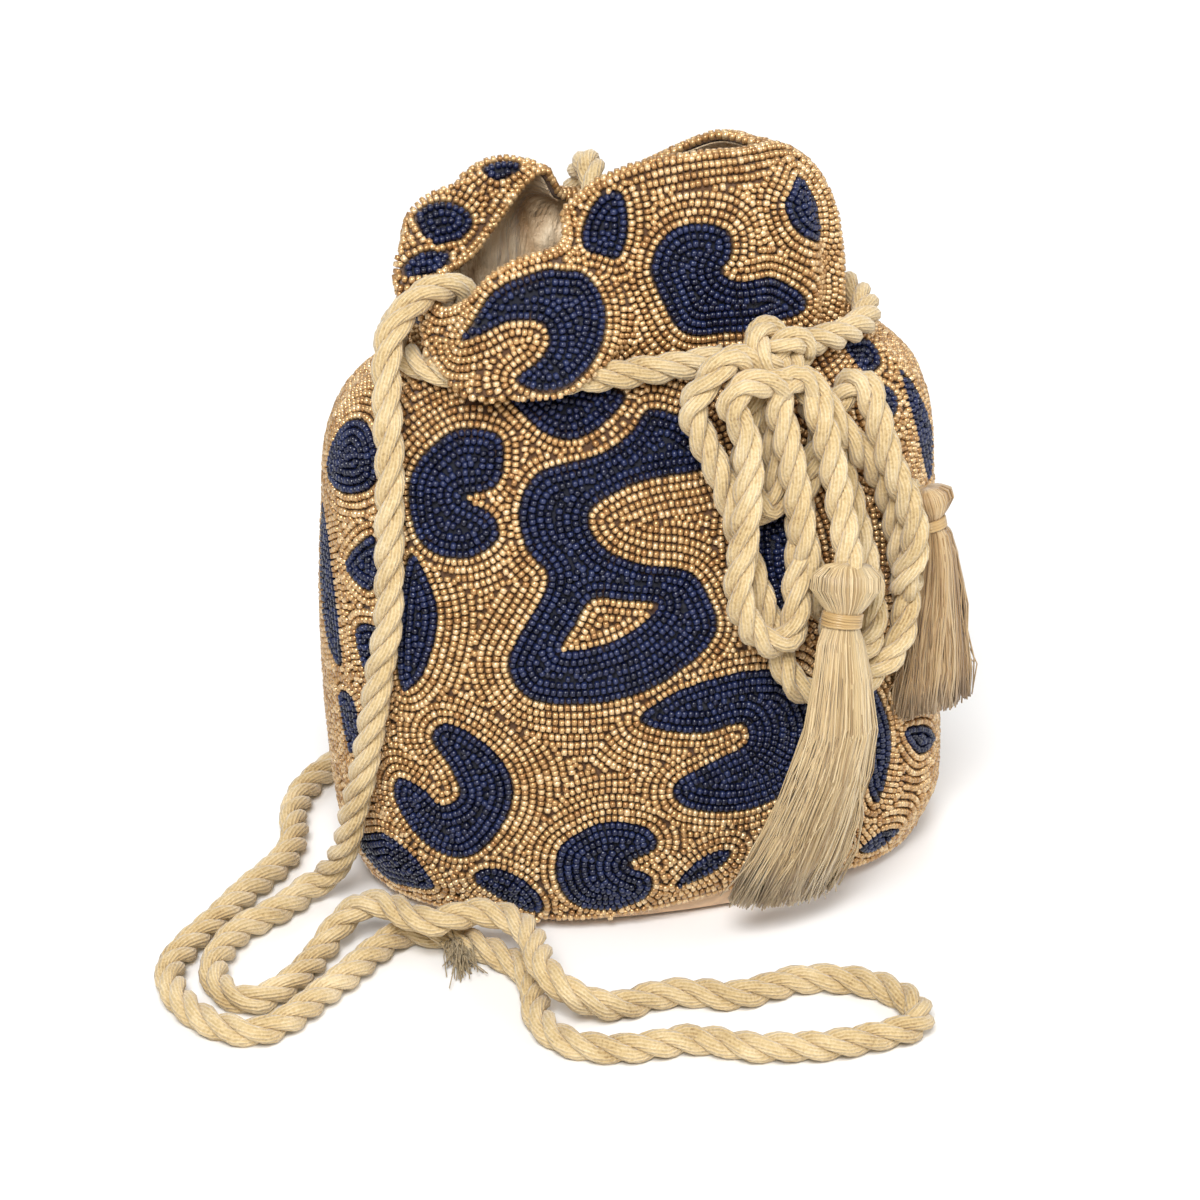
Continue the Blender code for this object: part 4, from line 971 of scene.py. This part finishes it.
def contour_rows(points, normals, distance):
    """Polylines of the rows of beads: (row number, points, normals)."""
    level = distance / ROW_PITCH - 0.5
    height, width = level.shape
    flat_points, flat_normals = points.reshape(-1, 3), normals.reshape(-1, 3)
    index = np.arange(height * width).reshape(height, width)
    where, facing, rows = {}, {}, {}
    tables = []
    for kind, partner in ((0, np.roll(index, -1, 1)), (1, np.vstack((index[1:], index[-1:])))):
        a, b = level.ravel()[index], level.ravel()[partner]
        crossing = np.floor(a) != np.floor(b)
        number = np.maximum(np.floor(a), np.floor(b))
        share = np.where(crossing, (number - a) / np.where(crossing, b - a, 1.0), 0.0)
        tables.append((crossing, number))
        for cell in index[crossing]:
            other = partner.ravel()[cell]
            t = share.ravel()[cell]
            key = kind * height * width + cell
            where[key] = flat_points[cell] * (1 - t) + flat_points[other] * t
            facing[key] = flat_normals[cell] * (1 - t) + flat_normals[other] * t
            rows[key] = number.ravel()[cell]
    (across_hit, _), (up_hit, _) = tables
    offset = height * width
    right = np.roll(index, -1, 1)
    links = {}
    busy = (across_hit[:-1] | across_hit[1:] | up_hit[:-1] | np.roll(up_hit, -1, 1)[:-1])
    for r, c in np.argwhere(busy):
        corner = (index[r, c], offset + right[r, c], index[r + 1, c], offset + index[r, c])
        groups = {}
        for key in corner:
            if key in rows:
                groups.setdefault(rows[key], []).append(key)
        for keys in groups.values():
            for first, second in zip(keys[0::2], keys[1::2]):
                links.setdefault(first, []).append(second)
                links.setdefault(second, []).append(first)
    seen = set()
    chains = []
    starts = [key for key in links if len(links[key]) == 1] + list(links)
    for start in starts:
        if start in seen:
            continue
        chain, current = [start], start
        seen.add(start)
        while True:
            ahead = [key for key in links[current] if key not in seen]
            if not ahead:
                break
            current = ahead[0]
            seen.add(current)
            chain.append(current)
        if len(chain) > 2 and chain[0] in links[chain[-1]]:
            chain.append(chain[0])
        chains.append((rows[start], np.array([where[key] for key in chain]),
                       np.array([facing[key] for key in chain])))
    return chains


def bead_places(chains):
    """Beads threaded along the rows: place, direction, outward normal and row number."""
    places, along, outward, numbers = [], [], [], []
    for number, line, facing in chains:
        travelled = travel(line)
        if travelled[-1] < 0.6 * BEAD_PITCH:
            continue
        count = max(1, round(travelled[-1] / BEAD_PITCH))
        marks = (np.arange(count) + 0.5) * travelled[-1] / count
        reach = 0.4 * BEAD_PITCH
        places.append(read_at(marks, travelled, line))
        along.append(read_at(marks + reach, travelled, line) - read_at(marks - reach, travelled, line))
        outward.append(read_at(marks, travelled, facing))
        numbers.append(np.full(count, number))
    return [np.concatenate(item) for item in (places, along, outward, numbers)]


class Spacing:
    """Keeps beads apart: a grid of the places already taken."""

    def __init__(self, gap):
        self.gap = gap
        self.cells = {}

    def free(self, point):
        cell = tuple((point / self.gap).astype(int))
        for x in (-1, 0, 1):
            for y in (-1, 0, 1):
                for z in (-1, 0, 1):
                    for other in self.cells.get((cell[0] + x, cell[1] + y, cell[2] + z), ()):
                        if ((other - point) ** 2).sum() < self.gap ** 2:
                            return False
        return True

    def add(self, point):
        self.cells.setdefault(tuple((point / self.gap).astype(int)), []).append(point)


def lay_beads(points, normals, distance):
    """All the beads of one surface, with loose ones in the gaps between rows."""
    places, along, outward, numbers = bead_places(contour_rows(points, normals, distance))
    order = np.argsort(np.abs(numbers + 0.5), kind="stable")
    spacing = Spacing(BEAD_GAP)
    kept = []
    for index in order:
        if spacing.free(places[index]):
            spacing.add(places[index])
            kept.append(index)
    places, along, outward, numbers = (item[kept] for item in (places, along, outward, numbers))
    tree = tree_of(places)
    flat, flat_normals, flat_distance = points.reshape(-1, 3), normals.reshape(-1, 3), distance.ravel()
    nearest = [tree.find(point) for point in flat]
    gaps = np.array([item[2] for item in nearest])
    loose = Spacing(LOOSE_BEAD_GAP)
    more = []
    for index in np.argsort(-gaps):
        if gaps[index] < LOOSE_BEAD_GAP:
            break
        if loose.free(flat[index]):
            loose.add(flat[index])
            more.append(index)
    if more:
        places = np.concatenate((places, flat[more]))
        along = np.concatenate((along, [along[nearest[index][1]] for index in more]))
        outward = np.concatenate((outward, flat_normals[more]))
        numbers = np.concatenate((numbers, np.where(flat_distance[more] < 0, -1.0, 1.0)))
    return places, along, outward, numbers


# Bead of unit size: places of its end points and of its two rings, and the radius of these
BEAD_END, BEAD_SHOULDER, BEAD_RING = 0.98, 0.62, 0.90
# Chance in the beads' turn and lean, in their size and in their place
BEAD_TILT, BEAD_SIZE_SPREAD, BEAD_SHIFT = 0.10, 0.05, 0.00006


def bead_template():
    """Six-sided seed bead: points and triangles, its hole along the first axis."""
    angle = np.arange(6) * FULL_TURN / 6
    across, up = BEAD_RING * np.cos(angle), BEAD_RING * np.sin(angle)
    rings = [np.stack((np.full(6, place), across, up), 1) for place in (-BEAD_SHOULDER, BEAD_SHOULDER)]
    points = np.concatenate((((-BEAD_END, 0.0, 0.0),), *rings, ((BEAD_END, 0.0, 0.0),)))
    side = np.arange(6)
    after = (side + 1) % 6
    triangles = np.concatenate((
        np.stack((np.zeros(6, int), 1 + after, 1 + side), 1),
        np.stack((1 + side, 1 + after, 7 + after), 1),
        np.stack((1 + side, 7 + after, 7 + side), 1),
        np.stack((np.full(6, 13), 7 + side, 7 + after), 1)))
    return points, triangles


def make_beads(name, places, along, outward, material, nodes, size=1.0):
    """One mesh of many beads."""
    count = len(places)
    template, faces = bead_template()
    outward = unit(outward)
    along = along - outward * (along * outward).sum(1)[:, None]
    along = along / np.maximum(np.linalg.norm(along, axis=1), 1e-9)[:, None]
    side = np.cross(outward, along)
    tilt = rng.normal(0.0, BEAD_TILT, (count, 1))
    lean = rng.normal(0.0, BEAD_TILT, (count, 1))
    along, side = along + side * tilt, side - along * tilt
    along, outward_axis = along + outward * lean, outward - along * lean
    scale = size * (1.0 + rng.normal(0.0, BEAD_SIZE_SPREAD, (count, 1, 1)))
    local = template[None] * np.array((BEAD_HALF, BEAD_RADIUS, BEAD_RADIUS))[None, None] * scale
    centre = places + outward * BEAD_STANDOFF + rng.normal(0.0, BEAD_SHIFT, (count, 3))
    verts = (centre[:, None] + local[:, :, 0:1] * along[:, None] + local[:, :, 1:2] * side[:, None]
             + local[:, :, 2:3] * outward_axis[:, None])
    triangles = faces[None] + (np.arange(count) * len(template))[:, None, None]
    tint = np.repeat(rng.random(count), len(template))
    piece = mesh_piece(name, verts.reshape(-1, 3), triangles.reshape(-1, 3), material, tint=tint)
    if nodes:
        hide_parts(*nodes)


GOLD_COLOURS = ((0.40, 0.21, 0.08), (0.56, 0.335, 0.14), (0.68, 0.44, 0.205), (0.83, 0.60, 0.335))
NAVY_COLOURS = ((0.003, 0.0045, 0.019), (0.007, 0.011, 0.046), (0.015, 0.024, 0.082))


def make_beadwork():
    """Beads of the pouch and the frill, and the row along the rim."""
    gold = bead_material("gold seed beads", GOLD_COLOURS, 0.55, 0.26, 0.2)
    navy = bead_material("navy seed beads", NAVY_COLOURS, 0.0, 0.26, 0.12)
    body_outlines, frill_outlines = field_outlines()
    angles = np.radians(np.arange(0.0, 360.0, 0.75))
    heights = np.linspace(HEM_HEIGHT, NECK_HEIGHT, 160)
    points, normals = grid_of(body_point, angles, heights)
    distance = field_distance(points, body_point, angles, heights, body_outlines, [points[0]], FULL_TURN)
    body = lay_beads(points, normals, distance)
    turns = np.arange(0, len(FOLDS), 0.05)
    rises = np.linspace(0.0, 1.0, 64)
    frill_grid, frill_normals = grid_of(frill_point, turns, rises)
    distance = field_distance(frill_grid, frill_point, turns, rises, frill_outlines, [frill_grid[-1]],
                              float(len(FOLDS)))
    frill = lay_beads(frill_grid, frill_normals, distance)
    body_nodes = ["spot_" + name for name in BODY_SPOTS] + ["spot_back_" + name for name in BACK_SPOTS]
    frill_nodes = ["spot_" + name for name in FRILL_SPOTS]
    for name, beads, nodes in (("pouch", body, body_nodes), ("frill", frill, frill_nodes)):
        places, along, outward, numbers = beads
        dark = numbers < 0
        make_beads(name + "_navy_beads", places[dark], along[dark], outward[dark], navy,
                   nodes)
        quarters = (np.arctan2(places[:, 1], places[:, 0]) // (math.pi / 2)).astype(int)
        groups = ((-2, "left_front"), (-1, "right_front"), (0, "right_back"), (1, "left_back")) \
            if name == "pouch" else ((None, "whole"),)
        for quarter, label in groups:
            chosen = ~dark if quarter is None else ~dark & (quarters == quarter)
            make_beads(f"{name}_gold_beads_{label}", places[chosen], along[chosen], outward[chosen], gold,
                       ())
    rim = resampled(np.concatenate((frill_grid[-1], frill_grid[-1][:1])), RIM_BEAD_PITCH)[:-1]
    rim_normals = np.repeat(np.array(((0.0, 0.0, 1.0),)), len(rim), 0)
    ahead = np.roll(rim, -1, 0) - np.roll(rim, 1, 0)
    make_beads("rim_gold_beads", rim - rim_normals * RIM_BEAD_DROP, ahead, rim_normals, gold,
               (), RIM_BEAD_SIZE)


# Floor and light

FLOOR_REACH = 6.0
# Lamps: name, place, size and power
LAMPS = (("key", (-0.5, -1.2, 1.4), 0.7, 36.0), ("fill", (1.2, -0.6, 0.9), 1.0, 8.0),
         ("back", (0.2, 1.3, 1.3), 1.0, 10.0))
LAMP_TARGET = (0, 0, 0.08)
SKY_COLOUR, SKY_STRENGTH, WHITE = (1.0, 0.985, 0.96, 1.0), 0.42, (1, 1, 1, 1)


def make_stage():
    """White floor and backdrop, and soft light."""
    mesh = bpy.data.meshes.new("floor")
    corners = [(x * FLOOR_REACH, y * FLOOR_REACH, 0) for x, y in ((-1, -1), (1, -1), (1, 1), (-1, 1))]
    mesh.from_pydata(corners, [], [(0, 1, 2, 3)])
    floor = new_object("floor", mesh)
    shader = Shader("pale floor", Roughness=0.9)
    grain = noise(shader, shader.place(), 6.0, 2.0)
    shader.colour(shader.ramp(grain, ((0.90, 0.90, 0.90), (0.92, 0.92, 0.92))))
    rays = shader.node("LightPath").outputs
    seen = shader.math("MAXIMUM", rays["Is Glossy Ray"], rays["Is Transmission Ray"])
    white = shader.node("Emission", {"Color": WHITE, "Strength": 1.0})
    mix = shader.node("MixShader", {"Fac": seen, 1: shader.surface.outputs[0], 2: white.outputs[0]})
    shader.tree.links.new(mix.outputs[0], shader.tree.nodes["Material Output"].inputs["Surface"])
    mesh.materials.append(shader.material)
    world = bpy.data.worlds.new("studio")
    bpy.context.scene.world = world
    world.use_nodes = True
    tree = world.node_tree
    soft = tree.nodes["Background"]
    soft.inputs["Color"].default_value = SKY_COLOUR
    soft.inputs["Strength"].default_value = SKY_STRENGTH
    bright = add_node(tree, "Background", {"Color": WHITE})
    rays = add_node(tree, "LightPath").outputs
    most = add_node(tree, "Math", {0: rays["Is Camera Ray"], 1: rays["Is Transmission Ray"]},
                    operation="MAXIMUM")
    both = add_node(tree, "MixShader", {"Fac": most.outputs[0], 1: soft.outputs[0], 2: bright.outputs[0]})
    tree.links.new(both.outputs[0], tree.nodes["World Output"].inputs["Surface"])
    for name, place, size, power in LAMPS:
        light = bpy.data.lights.new(name, "AREA")
        light.size = size
        light.energy = power
        lamp = new_object(name, light)
        lamp.location = place
        lamp.rotation_mode = "QUATERNION"
        lamp.rotation_quaternion = (Vector(LAMP_TARGET) - Vector(place)).to_track_quat("-Z", "Y")
    bpy.context.scene.view_settings.view_transform = "Standard"


make_camera()
rope_finish = make_cords()
make_cloth()
make_beadwork()
make_fray(rope_finish)
make_stage()
